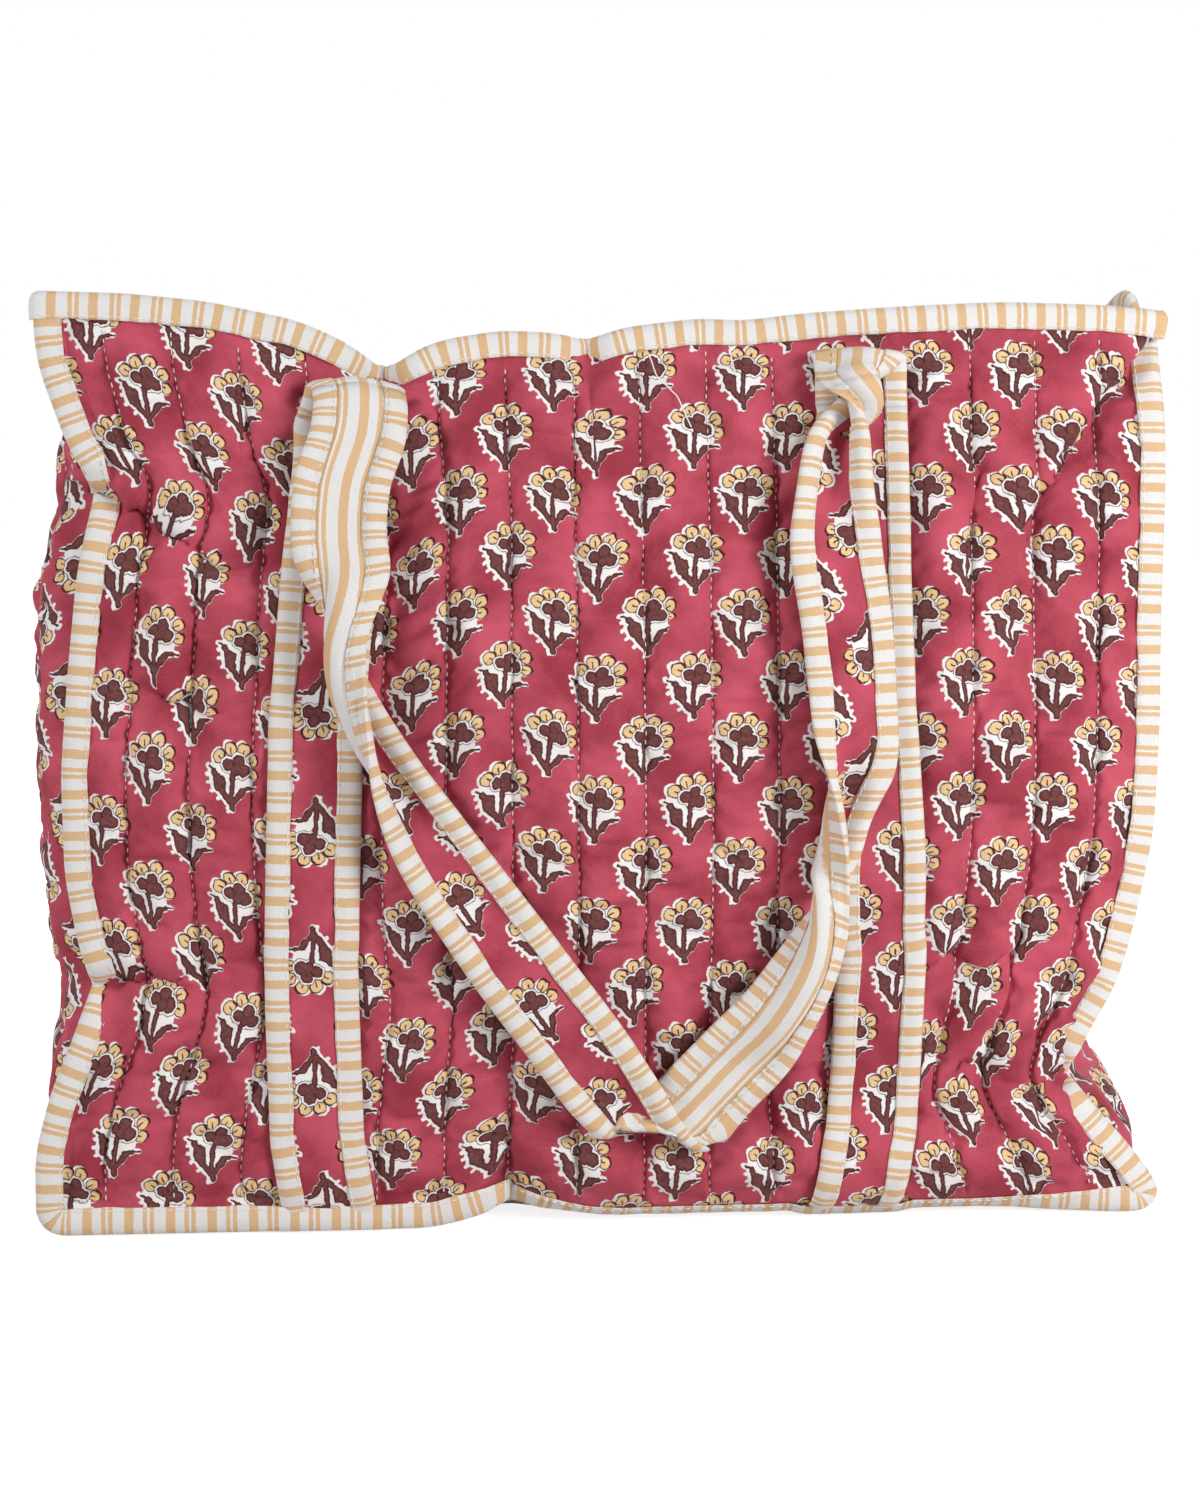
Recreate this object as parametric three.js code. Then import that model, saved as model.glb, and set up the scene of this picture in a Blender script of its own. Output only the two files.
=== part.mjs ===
// Quilted cotton tote bag, standing half slumped with both handles hanging down.
// Millimetres, +Z up, +Y towards the back. The origin is the middle of the flat underside.
//
// Each panel is a quilt of three layers: printed cloth outside, wadding, and a lining. The front and
// back panels lie flat to their edges. One gusset strip runs down the left side, under the base and up
// the right side. Striped bindings fold over the seams and the mouth. Each handle is one bound strap:
// two tails sewn to the panel, and a free loop that swings on the line where the tails end.

import * as THREE from 'three';

// Bag
const PANEL_WIDTH = 452;
const PANEL_HEIGHT = 368;
const BASE_DEPTH = 120;
const MOUTH_DEPTH = 66;
const BELLY = 22;
const CORNER_CUT = 9;
const GUSSET_CORNER_RADIUS = 22;
const GUSSET_SIDE_SWELL = 13;
const GUSSET_MOUTH_TUCK = 12;
const BASE_FLAT_SHARE = 0.5;

// Quilt
const CHANNEL_PITCH = 26;
const CLOTH = 0.5;
const WADDING_LOFT = 4.2;
const WADDING_SEAM = 1.2;
const LOFT_RISE = 16;

// Bindings and fit
const BINDING_WIDTH = 10;
const BINDING_CLOTH = 0.6;
const GAP = 0.3;
const SLOT_EASE = 0.5;

// Handles
const STRAP_WIDTH = 37;
const STRAP_CLOTH = 0.8;
const STRAP_SPACING = 216;
const HINGE_HEIGHT = 336;
const HINGE_REACH = 12;
const TAIL_CURL = 14;

// How the cloth has slumped. Each wave moves an edge inwards by its depth, and fades over its spread.
// Places are measured from the panel's middle along the foot and top, and from its foot along the sides.
const FRONT_SLUMP = {
  left: [
    { at: 293, by: 17, over: 38 },
    { at: 190, by: 12, over: 140 },
    { at: 99, by: 14, over: 32 },
  ],
  right: [
    { at: 55, by: 34, over: 30 },
    { at: 120, by: 14, over: 50 },
  ],
  top: [
    { at: -88, by: 19, over: 34 },
    { at: -40, by: 12, over: 90 },
    { at: -6, by: 8, over: 24 },
  ],
  foot: [{ at: -42, by: 10, over: 24 }],
};
const BACK_SLUMP = {
  left: [{ at: 170, by: 14, over: 110 }],
  right: [{ at: 170, by: 14, over: 110 }],
  top: [{ at: 20, by: 12, over: 110 }],
  foot: [],
};

// Heights of the rows of the panel mesh between its bound edges, set where the edges bend most.
const PANEL_ROWS = [55, 99, 170, 240, 293];

// The hanging loops, as distance along the panel, height, and how far they stand off it.
const FRONT_LOOP_ROUTE = [
  [-101, 300, 9],
  [-99, 240, 8],
  [-78, 172, 7],
  [-40, 112, 7],
  [-8, 69, 6],
  [18, 57, 6],
  [44, 72, 6],
  [74, 112, 6],
  [92, 172, 7],
  [96, 240, 8],
  [100, 300, 9],
];
const BACK_LOOP_ROUTE = [
  [-102, 300, 9],
  [-98, 240, 8],
  [-82, 172, 7],
  [-50, 108, 7],
  [-22, 70, 6],
  [0, 59, 6],
  [22, 70, 6],
  [50, 108, 7],
  [82, 172, 7],
  [98, 240, 8],
  [102, 300, 9],
];
const LOOP_STEPS = 26;
const CURL_STEPS = 3;
const GUSSET_CORNER_STEPS = 3;
const GUSSET_BASE_STEPS = 8;
const SLOPE_STEP = 0.5;

// Worked out from the sizes above
const HALF_WIDTH = PANEL_WIDTH / 2;
const CHANNELS = Math.round(PANEL_WIDTH / CHANNEL_PITCH);
const GUSSET_CHANNELS = Math.round((BASE_DEPTH * 0.9) / CHANNEL_PITCH);
const EDGE_STACK = 2 * CLOTH + 2 * GAP + WADDING_SEAM;
const CREST_STACK = 2 * CLOTH + 2 * GAP + WADDING_LOFT;
const BINDING_LIP = SLOT_EASE + BINDING_CLOTH;
const STRAP_HALF_STACK = GAP / 2 + STRAP_CLOTH + BINDING_LIP;
const FOOT_CLEARANCE = BINDING_LIP + EDGE_STACK / 4;
const SEAM_INSET = BINDING_WIDTH;
const GUSSET_STANDOFF = BINDING_LIP + SLOT_EASE;
const TAIL_HALF_SPACING = STRAP_SPACING / 2;

// Materials
const printedCloth = new THREE.MeshStandardMaterial({ color: '#a8394f', roughness: 0.8 });
const stripedCloth = new THREE.MeshStandardMaterial({ color: '#efe3cf', roughness: 0.85 });
const wadding = new THREE.MeshStandardMaterial({ color: '#f4f1ea', roughness: 0.95 });

const bag = new THREE.Group();

function addPiece(name, geometry, material) {
  const mesh = new THREE.Mesh(geometry, material);
  mesh.name = name;
  bag.add(mesh);
}

const mix = (a, b, t) => a + (b - a) * t;
const ease = (low, high, x) => THREE.MathUtils.smoothstep(x, low, high);
const evenly = (count, from, to) => Array.from({ length: count + 1 }, (_, i) => mix(from, to, i / count));

// A closed geometry from a list of points and triangles.
function solid(points, triangles) {
  const geometry = new THREE.BufferGeometry();
  const flat = points.flatMap((point) => [point.x, point.y, point.z]);
  geometry.setAttribute('position', new THREE.Float32BufferAttribute(flat, 3));
  geometry.setIndex(triangles.flat());
  geometry.computeVertexNormals();
  return geometry;
}

// A thick sheet: two grids of points, one on each face, closed round the rim. The inner face may leave
// out every second column. at(column, row, face) gives a point, with face 0 inside and 1 outside.
function sheet(columns, rows, at, innerColumns = columns) {
  const points = [];
  const triangles = [];
  const grid = (list, face) =>
    list.map((column) => rows.map((row) => points.push(at(column, row, face)) - 1));
  const outer = grid(columns, 1);
  const inner = grid(innerColumns, 0);
  const last = rows.length - 1;

  function fill(face, flip) {
    for (let i = 0; i + 1 < face.length; i++) {
      for (let j = 0; j < last; j++) {
        const [a, b, c, d] = [face[i][j], face[i + 1][j], face[i + 1][j + 1], face[i][j + 1]];
        triangles.push(flip ? [a, c, b] : [a, b, c], flip ? [a, d, c] : [a, c, d]);
      }
    }
  }
  fill(outer, false);
  fill(inner, true);

  for (let j = 0; j < last; j++) {
    const [start, startIn] = [outer[0], inner[0]];
    const [end, endIn] = [outer.at(-1), inner.at(-1)];
    triangles.push([start[j], start[j + 1], startIn[j + 1]], [start[j], startIn[j + 1], startIn[j]]);
    triangles.push([end[j], endIn[j + 1], end[j + 1]], [end[j], endIn[j], endIn[j + 1]]);
  }
  const share = (outer.length - 1) / (inner.length - 1);
  for (const [row, flip] of [[0, true], [last, false]]) {
    const triangle = (a, b, c) => triangles.push(flip ? [a, c, b] : [a, b, c]);
    for (let k = 0; k + 1 < inner.length; k++) {
      for (let i = k * share; i < (k + 1) * share; i++) {
        triangle(outer[i][row], outer[i + 1][row], inner[k][row]);
      }
      triangle(outer[(k + 1) * share][row], inner[k + 1][row], inner[k][row]);
    }
  }
  return solid(points, triangles);
}

// Sweeps a closed outline along stations. Each station has an origin, a width axis and a normal axis.
function sweep(stations, outline) {
  const points = stations.flatMap(({ origin, across, normal }) =>
    outline.map(([a, n]) => origin.clone().addScaledVector(across, a).addScaledVector(normal, n)),
  );
  const size = outline.length;
  const triangles = [];
  const [first, second] = stations;
  const ahead = second.origin.clone().sub(first.origin);
  const flip = first.across.clone().cross(first.normal).dot(ahead) < 0;
  for (let i = 0; i + 1 < stations.length; i++) {
    for (let k = 0; k < size; k++) {
      const next = (k + 1) % size;
      const [a, b] = [i * size + k, i * size + next];
      const returning = outline[next][0] < outline[k][0];
      triangles.push(
        returning ? [a, b, a + size] : [a, b, b + size],
        returning ? [b, b + size, a + size] : [a, b + size, a + size],
      );
    }
  }
  const flatOutline = outline.map(([a, n]) => new THREE.Vector2(a, n));
  const end = (stations.length - 1) * size;
  for (const [a, b, c] of THREE.ShapeUtils.triangulateShape(flatOutline, [])) {
    const area = (flatOutline[b].x - flatOutline[a].x) * (flatOutline[c].y - flatOutline[a].y)
      - (flatOutline[c].x - flatOutline[a].x) * (flatOutline[b].y - flatOutline[a].y);
    const [p, q] = area > 0 ? [b, c] : [c, b];
    triangles.push([a, q, p], [end + a, end + p, end + q]);
  }
  return solid(points, flip ? triangles.map(([a, b, c]) => [a, c, b]) : triangles);
}

// Outline of a folded binding whose slot holds a stack from `low` to `high`, with its fold at `edge`.
// Turned over, it binds the other side of a strap.
function foldedBinding(edge, low, high, side = 1) {
  const [lowIn, highIn] = [low - SLOT_EASE, high + SLOT_EASE];
  const [lowOut, highOut] = [lowIn - BINDING_CLOTH, highIn + BINDING_CLOTH];
  const [lip, slot, fold] = [edge - BINDING_WIDTH, edge + SLOT_EASE, edge + BINDING_LIP];
  const outline = [
    [lip, lowOut], [fold, lowOut], [fold, highOut], [lip, highOut],
    [lip, highIn], [slot, highIn], [slot, lowIn], [lip, lowIn],
  ];
  return side > 0 ? outline : outline.map(([a, n]) => [-a, n]).reverse();
}

const band = (halfWidth, low, high) =>
  [[-halfWidth, low], [halfWidth, low], [halfWidth, high], [-halfWidth, high]];

// Stations along an edge that runs anticlockwise round its panel, so that `across` points off the edge.
function edgeStations(places) {
  return places.map(({ origin, normal }, i) => {
    const before = places[Math.max(i - 1, 0)].origin;
    const after = places[Math.min(i + 1, places.length - 1)].origin;
    const along = after.clone().sub(before).normalize();
    return { origin, normal, across: along.cross(normal).normalize() };
  });
}

// Seams of the quilt across the panel, and the crests between them.
const channelPlaces = evenly(CHANNELS, -HALF_WIDTH, HALF_WIDTH);
const EDGE_COLUMN = HALF_WIDTH - 1.6 * BINDING_WIDTH;
const seamColumns = [-HALF_WIDTH, -EDGE_COLUMN, ...channelPlaces.slice(1, -1), EDGE_COLUMN, HALF_WIDTH];
const puffColumns = seamColumns.flatMap((seam, i) => (i ? [(seamColumns[i - 1] + seam) / 2, seam] : [seam]));
const EDGE_ROW = BINDING_WIDTH + 2 * GAP;
const MOUTH_ROW = PANEL_HEIGHT - 1.5 * BINDING_WIDTH;
const panelRows = [0, EDGE_ROW, ...PANEL_ROWS, MOUTH_ROW, PANEL_HEIGHT];

// An edge runs straight between the quilt's seams, so waves are read at the seams.
function wave(waves, place) {
  const height = (s) => waves.reduce((sum, { at, by, over }) => sum + by * Math.exp(-(((s - at) / over) ** 2)), 0);
  return height(place);
}
function waveBetweenSeams(waves, place) {
  const next = Math.max(1, seamColumns.findIndex((seam) => seam >= place - GAP / 100));
  const [from, to] = [seamColumns[next - 1], seamColumns[next]];
  return mix(wave(waves, from), wave(waves, to), (place - from) / (to - from));
}

// How much loft the wadding has where the panel is free of its bindings and its seams.
function loftAt(across, up) {
  const fromSide = HALF_WIDTH - Math.abs(across);
  const fromEnd = Math.min(up, PANEL_HEIGHT - up);
  const free = 1.5 * BINDING_WIDTH;
  const rise = ease(free, free + LOFT_RISE, fromEnd) * (fromSide > free ? 1 : 0);
  const onSeam = seamColumns.some((seam) => Math.abs(seam - across) < GAP);
  return onSeam ? WADDING_SEAM : mix(WADDING_SEAM, WADDING_LOFT, rise);
}

// The front panel faces -Y. The back panel is the same shape turned half round.
function makePanel(slump, turn) {
  function point(across, up) {
    const height = up / PANEL_HEIGHT;
    const corner = CORNER_CUT * Math.max(0, 1 - up / EDGE_ROW);
    const nearLeft = Math.max(0, -across / HALF_WIDTH);
    const nearRight = Math.max(0, across / HALF_WIDTH);
    const pull = wave(slump.left, up) * nearLeft ** 2 - wave(slump.right, up) * nearRight ** 2;
    const foot = FOOT_CLEARANCE + waveBetweenSeams(slump.foot, across);
    const top = FOOT_CLEARANCE + PANEL_HEIGHT - waveBetweenSeams(slump.top, across);
    const swell = BELLY * Math.sin(Math.PI * height) * Math.cos((Math.PI * across) / PANEL_WIDTH);
    const x = across + pull - (corner * across) / HALF_WIDTH;
    const y = -mix(BASE_DEPTH, MOUTH_DEPTH, height) / 2 - swell;
    return new THREE.Vector3(turn * x, turn * y, mix(foot, top, height));
  }
  function normal(across, up) {
    const inside = (value, limit) => THREE.MathUtils.clamp(value, -limit, limit);
    const a = inside(across, HALF_WIDTH - SLOPE_STEP);
    const u = THREE.MathUtils.clamp(up, SLOPE_STEP, PANEL_HEIGHT - SLOPE_STEP);
    const sideways = point(a + SLOPE_STEP, u).sub(point(a - SLOPE_STEP, u));
    const upwards = point(a, u + SLOPE_STEP).sub(point(a, u - SLOPE_STEP));
    return sideways.cross(upwards).normalize();
  }
  const above = (across, up, height) => point(across, up).addScaledVector(normal(across, up), height);
  const place = (across, up) => ({ origin: point(across, up), normal: normal(across, up) });
  return { point, normal, above, place, turn };
}

// The three layers of a front or back panel.
function addPanelLayers(name, panel) {
  addPiece(`${name}_lining`, sheet(seamColumns, panelRows, (a, u, face) => panel.above(a, u, face * CLOTH)), stripedCloth);
  const waddingFoot = CLOTH + GAP;
  const waddingAt = (a, u, face) => panel.above(a, u, waddingFoot + face * loftAt(a, u));
  addPiece(`${name}_wadding`, sheet(puffColumns, panelRows, waddingAt, seamColumns), wadding);
  const clothAt = (a, u, face) => panel.above(a, u, waddingFoot + loftAt(a, u) + GAP + face * CLOTH);
  addPiece(`${name}_outer_cloth`, sheet(puffColumns, panelRows, clothAt), printedCloth);
}

// The binding over a panel's seam with the gusset: down the left, along the foot and up the right.
function addSeamBinding(name, panel) {
  const sideRows = panelRows.slice(1, -1);
  const places = [
    ...sideRows.toReversed().map((up) => panel.place(-HALF_WIDTH, up)),
    ...seamColumns.map((across) => panel.place(across, 0)),
    ...sideRows.map((up) => panel.place(HALF_WIDTH, up)),
  ];
  addPiece(name, sweep(edgeStations(places), foldedBinding(0, 0, EDGE_STACK)), stripedCloth);
}

// The binding over a panel's top edge. Its ends stand a lip past the panel's corners.
function addMouthBinding(name, panel) {
  const places = seamColumns.toReversed().map((across) => panel.place(across, PANEL_HEIGHT));
  for (const [corner, neighbour] of [[0, 1], [places.length - 1, places.length - 2]]) {
    const outwards = places[corner].origin.clone().sub(places[neighbour].origin).normalize();
    places[corner].origin.addScaledVector(outwards, BINDING_LIP);
  }
  addPiece(name, sweep(edgeStations(places), foldedBinding(0, 0, EDGE_STACK)), stripedCloth);
}

// The line on a panel where the gusset meets it, from the left of the mouth round the foot to the right.
function seamLine() {
  const side = HALF_WIDTH - SEAM_INSET;
  const bend = SEAM_INSET + GUSSET_CORNER_RADIUS;
  const sideRows = panelRows.slice(2).filter((up) => up > bend);
  const corner = (sign, angles) => angles.map((angle) => ({
    across: sign * (side - GUSSET_CORNER_RADIUS * (1 - Math.cos(angle))),
    up: bend - GUSSET_CORNER_RADIUS * Math.sin(angle),
    outwards: [sign * Math.cos(angle), -Math.sin(angle)],
  }));
  const turnAngles = evenly(GUSSET_CORNER_STEPS, 0, Math.PI / 2);
  const baseEnd = side - GUSSET_CORNER_RADIUS;
  return [
    ...sideRows.toReversed().map((up) => ({ across: -side, up, outwards: [-1, 0] })),
    ...corner(-1, turnAngles),
    ...evenly(GUSSET_BASE_STEPS, -baseEnd, baseEnd).slice(1, -1)
      .map((across) => ({ across, up: SEAM_INSET, outwards: [0, -1] })),
    ...corner(1, turnAngles.toReversed()),
    ...sideRows.map((up) => ({ across: side, up, outwards: [1, 0] })),
  ];
}

// The gusset bridges the two panels, and swells outwards between its seams.
function makeGusset(front, back) {
  const line = seamLine();
  const behind = (panel, across, up) => panel.above(across, up, -GUSSET_STANDOFF);
  const frontEdge = line.map(({ across, up }) => behind(front, across, up));
  const backEdge = line.map(({ across, up }) => behind(back, -across, up));

  // A flat base hangs down to the floor, the sides swell, and the mouth tucks in.
  const sideSwell = line.map(({ up }) =>
    mix(GUSSET_SIDE_SWELL, -GUSSET_MOUTH_TUCK, ease(PANEL_HEIGHT / 2, PANEL_HEIGHT, up)));
  const baseShare = line.map(({ outwards }) => -outwards[1]);
  const direction = line.map(({ outwards }) => new THREE.Vector3(outwards[0], 0, outwards[1]));
  const alongPanel = (panel, sign) => line.map(({ across, up }, i) =>
    direction[i].clone().projectOnPlane(panel.normal(sign * across, up)).normalize());
  const frontOut = alongPanel(front, 1);
  const backOut = alongPanel(back, -1);

  function point(across, step) {
    const fromMiddle = Math.abs(2 * across - 1);
    const sideBow = 1 - fromMiddle ** 2;
    const baseBow = 1 - (Math.max(0, fromMiddle - BASE_FLAT_SHARE) / (1 - BASE_FLAT_SHARE)) ** 2;
    const bridge = frontEdge[step].clone().lerp(backEdge[step], across);
    const drop = bridge.z - EDGE_STACK;
    const swell = mix(sideSwell[step] * sideBow, drop * baseBow, baseShare[step]);
    return bridge.addScaledVector(direction[step], swell);
  }
  const outwardsAt = (across, step) => {
    const level = 1 - Math.abs(2 * across - 1);
    const nearest = across < 0.5 ? frontOut[step] : backOut[step];
    return nearest.clone().lerp(direction[step], level).normalize();
  };
  const above = (across, step, height) =>
    point(across, step).addScaledVector(outwardsAt(across, step), height);
  const steps = line.map((_, i) => i);
  const isBase = (step) => direction[step].z < 0;
  return { above, point, outwardsAt, steps, isBase };
}

const gussetSeams = evenly(GUSSET_CHANNELS, 0, 1);
const gussetPuffs = evenly(2 * GUSSET_CHANNELS, 0, 1);

function addGussetLayers(gusset) {
  const waddingFoot = CLOTH + GAP;
  const lastStep = gusset.steps.length - 1;
  const loft = (across, step) => {
    const flat = gusset.isBase(step) || step <= 1 || step >= lastStep - 1;
    const onSeam = gussetSeams.some((seam) => Math.abs(seam - across) * BASE_DEPTH < GAP);
    return flat || onSeam ? WADDING_SEAM : WADDING_LOFT;
  };
  const liningAt = (a, step, face) => gusset.above(a, step, face * CLOTH);
  addPiece('gusset_lining', sheet(gussetSeams, gusset.steps, liningAt), stripedCloth);
  const waddingAt = (a, step, face) => gusset.above(a, step, waddingFoot + face * loft(a, step));
  addPiece('gusset_wadding', sheet(gussetPuffs, gusset.steps, waddingAt, gussetSeams), wadding);
  const clothAt = (a, step, face) => gusset.above(a, step, waddingFoot + loft(a, step) + GAP + face * CLOTH);
  addPiece('gusset_outer_cloth', sheet(gussetPuffs, gusset.steps, clothAt), printedCloth);
}

// The bindings over the gusset's two ends, between the front and back runs of the mouth.
function addGussetEndBindings(gusset) {
  const lastStep = gusset.steps.length - 1;
  const ends = [['left', 0, 1, gussetSeams], ['right', lastStep, lastStep - 1, gussetSeams.toReversed()]];
  for (const [name, end, below, seams] of ends) {
    const stations = seams.map((seam) => {
      const origin = gusset.point(seam, end);
      const across = origin.clone().sub(gusset.point(seam, below)).normalize();
      const normal = gusset.outwardsAt(seam, end).projectOnPlane(across).normalize();
      return { origin, across, normal };
    });
    addPiece(`mouth_binding_${name}`, sweep(stations, foldedBinding(0, 0, EDGE_STACK)), stripedCloth);
  }
}

// A bound strap along stations: printed strip, striped strip, and a binding folded over each edge.
function addStrap(name, stations) {
  const stripHalf = STRAP_WIDTH / 2 - BINDING_LIP;
  const [near, far] = [GAP / 2, GAP / 2 + STRAP_CLOTH];
  addPiece(`${name}_printed_strip`, sweep(stations, band(stripHalf, near, far)), printedCloth);
  addPiece(`${name}_striped_strip`, sweep(stations, band(stripHalf, -far, -near)), stripedCloth);
  addPiece(`${name}_left_edge_binding`, sweep(stations, foldedBinding(stripHalf, -far, far, -1)), stripedCloth);
  addPiece(`${name}_right_edge_binding`, sweep(stations, foldedBinding(stripHalf, -far, far)), stripedCloth);
}

// The line a loop swings on: level, in front of the panel, just below the mouth.
const hingeY = (panel) => {
  const up = HINGE_HEIGHT - FOOT_CLEARANCE;
  return panel.turn * (panel.turn * panel.point(TAIL_HALF_SPACING, up).y - CREST_STACK - HINGE_REACH);
};

// A tail lies on the panel from the foot's binding upwards, then curls forwards to the hinge line.
function tailStations(panel, across) {
  const strapHeight = CREST_STACK + SLOT_EASE + GAP / 2 + STRAP_CLOTH;
  const curlFoot = HINGE_HEIGHT - TAIL_CURL;
  const ups = [EDGE_ROW + GAP, ...PANEL_ROWS.filter((up) => up < curlFoot - FOOT_CLEARANCE)];
  const onPanel = ups.map((up) => {
    const normal = panel.normal(across, up);
    const side = panel.point(across + STRAP_WIDTH / 2, up).sub(panel.point(across - STRAP_WIDTH / 2, up));
    return { origin: panel.above(across, up, strapHeight), across: side.projectOnPlane(normal).normalize(), normal };
  });
  const leave = panel.above(across, curlFoot - FOOT_CLEARANCE, strapHeight);
  const reach = hingeY(panel) + panel.turn * (STRAP_HALF_STACK + GAP);
  const curl = evenly(CURL_STEPS, 0, Math.PI / 2).map((angle) => ({
    origin: new THREE.Vector3(
      leave.x,
      mix(leave.y, reach, 1 - Math.cos(angle)),
      mix(curlFoot, HINGE_HEIGHT, Math.sin(angle)),
    ),
    across: new THREE.Vector3(panel.turn, 0, 0),
    normal: new THREE.Vector3(0, -panel.turn * Math.cos(angle), -Math.sin(angle)),
  }));
  return [...onPanel, ...curl];
}

// A loop hangs from the hinge line at one tail, down the panel and up to the other tail.
function loopStations(panel, route) {
  const y = hingeY(panel);
  const endOf = (across) => new THREE.Vector3(tailX(panel, across), y, HINGE_HEIGHT);
  const hanging = route.map(([across, up, standoff]) => panel.above(across, up, CREST_STACK + standoff));
  const path = new THREE.CatmullRomCurve3([endOf(-TAIL_HALF_SPACING), ...hanging, endOf(TAIL_HALF_SPACING)]);
  const inwards = new THREE.Vector3(0, panel.turn, 0);
  return evenly(LOOP_STEPS, 0, 1).map((share, i) => {
    const along = path.getTangentAt(share);
    if (i === 0) along.set(0, 0, -1);
    if (i === LOOP_STEPS) along.set(0, 0, 1);
    const across = along.clone().cross(inwards).normalize();
    return { origin: path.getPointAt(share), across, normal: across.clone().cross(along).normalize() };
  });
}

const tailX = (panel, across) => panel.point(across, HINGE_HEIGHT - TAIL_CURL - FOOT_CLEARANCE).x;

function addHandle(name, panel, route) {
  for (const [side, across] of [['left', -TAIL_HALF_SPACING], ['right', TAIL_HALF_SPACING]]) {
    addStrap(`${name}_${side}_tail`, tailStations(panel, across));
  }
  addStrap(`${name}_loop`, loopStations(panel, route));
}

const front = makePanel(FRONT_SLUMP, 1);
const back = makePanel(BACK_SLUMP, -1);
addPanelLayers('front', front);
addPanelLayers('back', back);
const gusset = makeGusset(front, back);
addGussetLayers(gusset);
addSeamBinding('front_seam_binding', front);
addSeamBinding('back_seam_binding', back);
addMouthBinding('mouth_binding_front', front);
addMouthBinding('mouth_binding_back', back);
addGussetEndBindings(gusset);
addHandle('front_handle', front, FRONT_LOOP_ROUTE);
addHandle('back_handle', back, BACK_LOOP_ROUTE);

export default bag;
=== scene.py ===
# Quilted cotton tote bag, half slumped, with its front handle flopped over the mouth.
# Sizes are in millimetres, as a maker would mark them on the cloth; meshes are built in metres.
import math
from functools import partial

import bpy
import numpy as np
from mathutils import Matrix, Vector


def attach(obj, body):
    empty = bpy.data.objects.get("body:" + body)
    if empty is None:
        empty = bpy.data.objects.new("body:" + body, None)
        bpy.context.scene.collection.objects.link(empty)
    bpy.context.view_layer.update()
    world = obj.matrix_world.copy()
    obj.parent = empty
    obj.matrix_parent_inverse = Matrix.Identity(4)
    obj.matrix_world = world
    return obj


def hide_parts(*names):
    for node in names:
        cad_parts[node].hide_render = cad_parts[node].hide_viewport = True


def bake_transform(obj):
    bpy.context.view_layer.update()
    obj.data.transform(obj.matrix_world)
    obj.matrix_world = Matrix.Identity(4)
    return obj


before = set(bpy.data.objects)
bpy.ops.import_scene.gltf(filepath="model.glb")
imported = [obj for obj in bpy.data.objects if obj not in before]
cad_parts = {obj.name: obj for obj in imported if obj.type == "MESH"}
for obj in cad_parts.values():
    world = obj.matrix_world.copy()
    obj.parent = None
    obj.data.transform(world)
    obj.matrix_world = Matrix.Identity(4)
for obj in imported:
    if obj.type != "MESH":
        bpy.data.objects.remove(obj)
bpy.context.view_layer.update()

MM = 0.001

# Bag
PANEL_WIDTH = 452
PANEL_HEIGHT = 368
HALF_WIDTH = PANEL_WIDTH / 2
BASE_DEPTH = 120
MOUTH_DEPTH = 66
BELLY = 22
CORNER_RADIUS = 10
FOOT_CLEARANCE = 1.8
FOOT_STRIP = 11
GUSSET_CORNER_RADIUS = 22
GUSSET_STANDOFF = 1.6
BASE_FLAT_SHARE = 0.5
BASE_CLEARANCE = 0.8
SEAM_INSET = 10

# Quilt. Heights are from the inner face of the lining.
CHANNELS = 17
CHANNEL = PANEL_WIDTH / CHANNELS
GUSSET_CHANNELS = 4
LINING = 0.5
SEAM_HEIGHT = 1.9
CREST_HEIGHT = 5.8
PRESSED_HEIGHT = 3.9
CHANNEL_COLUMNS = np.array([0, 0.06, 0.16, 0.31, 0.5, 0.69, 0.84, 0.94])
CHANNEL_CELLS = len(CHANNEL_COLUMNS)
ROW = 3.3
LAYER_GAP = 0.3
PUFF_EASE = 16
PUFF_UNEVEN = 0.22
PUFF_UNEVEN_FINE = 0.12
GUSSET_PUFF_UNEVEN = 0.2
CLOTH_UNEVEN = 0.12
GATHERED_RISE = 2.2
LINING_SINK = 1.3

# How far the print is gathered in towards a panel's sides, and from where to where.
LEFT_GATHER = 5.7
LEFT_GATHER_SPAN = (-60, -190)
RIGHT_GATHER = 2.6
RIGHT_GATHER_SPAN = (40, 130)

# Swelling of the quilts by simulation: how much the cloth grows, the push of the wadding, and how far a
# place may move out or in, and sideways.
QUILT_GROWTH = 0.05
GUSSET_GROWTH = 0.045
WADDING_PUSH = 4
QUILT_MOST = 2.4
GUSSET_MOST = 2.0
MOST_ASIDE = 2.5
SWELLING_STEPS = 20

# Bindings and thread
BINDING_WIDTH = 10
BINDING_FOLD = 1.1
BINDING_EASE = 0.55
BINDING_PUFF = 0.3
BINDING_PUFF_UNEVEN = 0.16
LIP_UNEVEN = 0.35
EDGE_POINTS = 151
MOUTH_END_INSET = 1.8
FOOT_LIFT_OVER_TAIL = 1.6
FOOT_LIFT_FADE = (18, 26)
FOOT_LIFT_BELOW = 20
LIP_INSET = 1.2
EDGE_STACK = 2.8
QUILT_STITCH = 2.1
QUILT_STITCH_PITCH = 3.5
TOP_STITCH = 2.3
TOP_STITCH_PITCH = 3.4
THREAD = 0.55
FINE_THREAD = 0.42
UNSTITCHED_ROWS = 7
QUILT_STITCH_RISE = 0.4
QUILT_STITCH_STAGGER = 0.7

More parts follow.
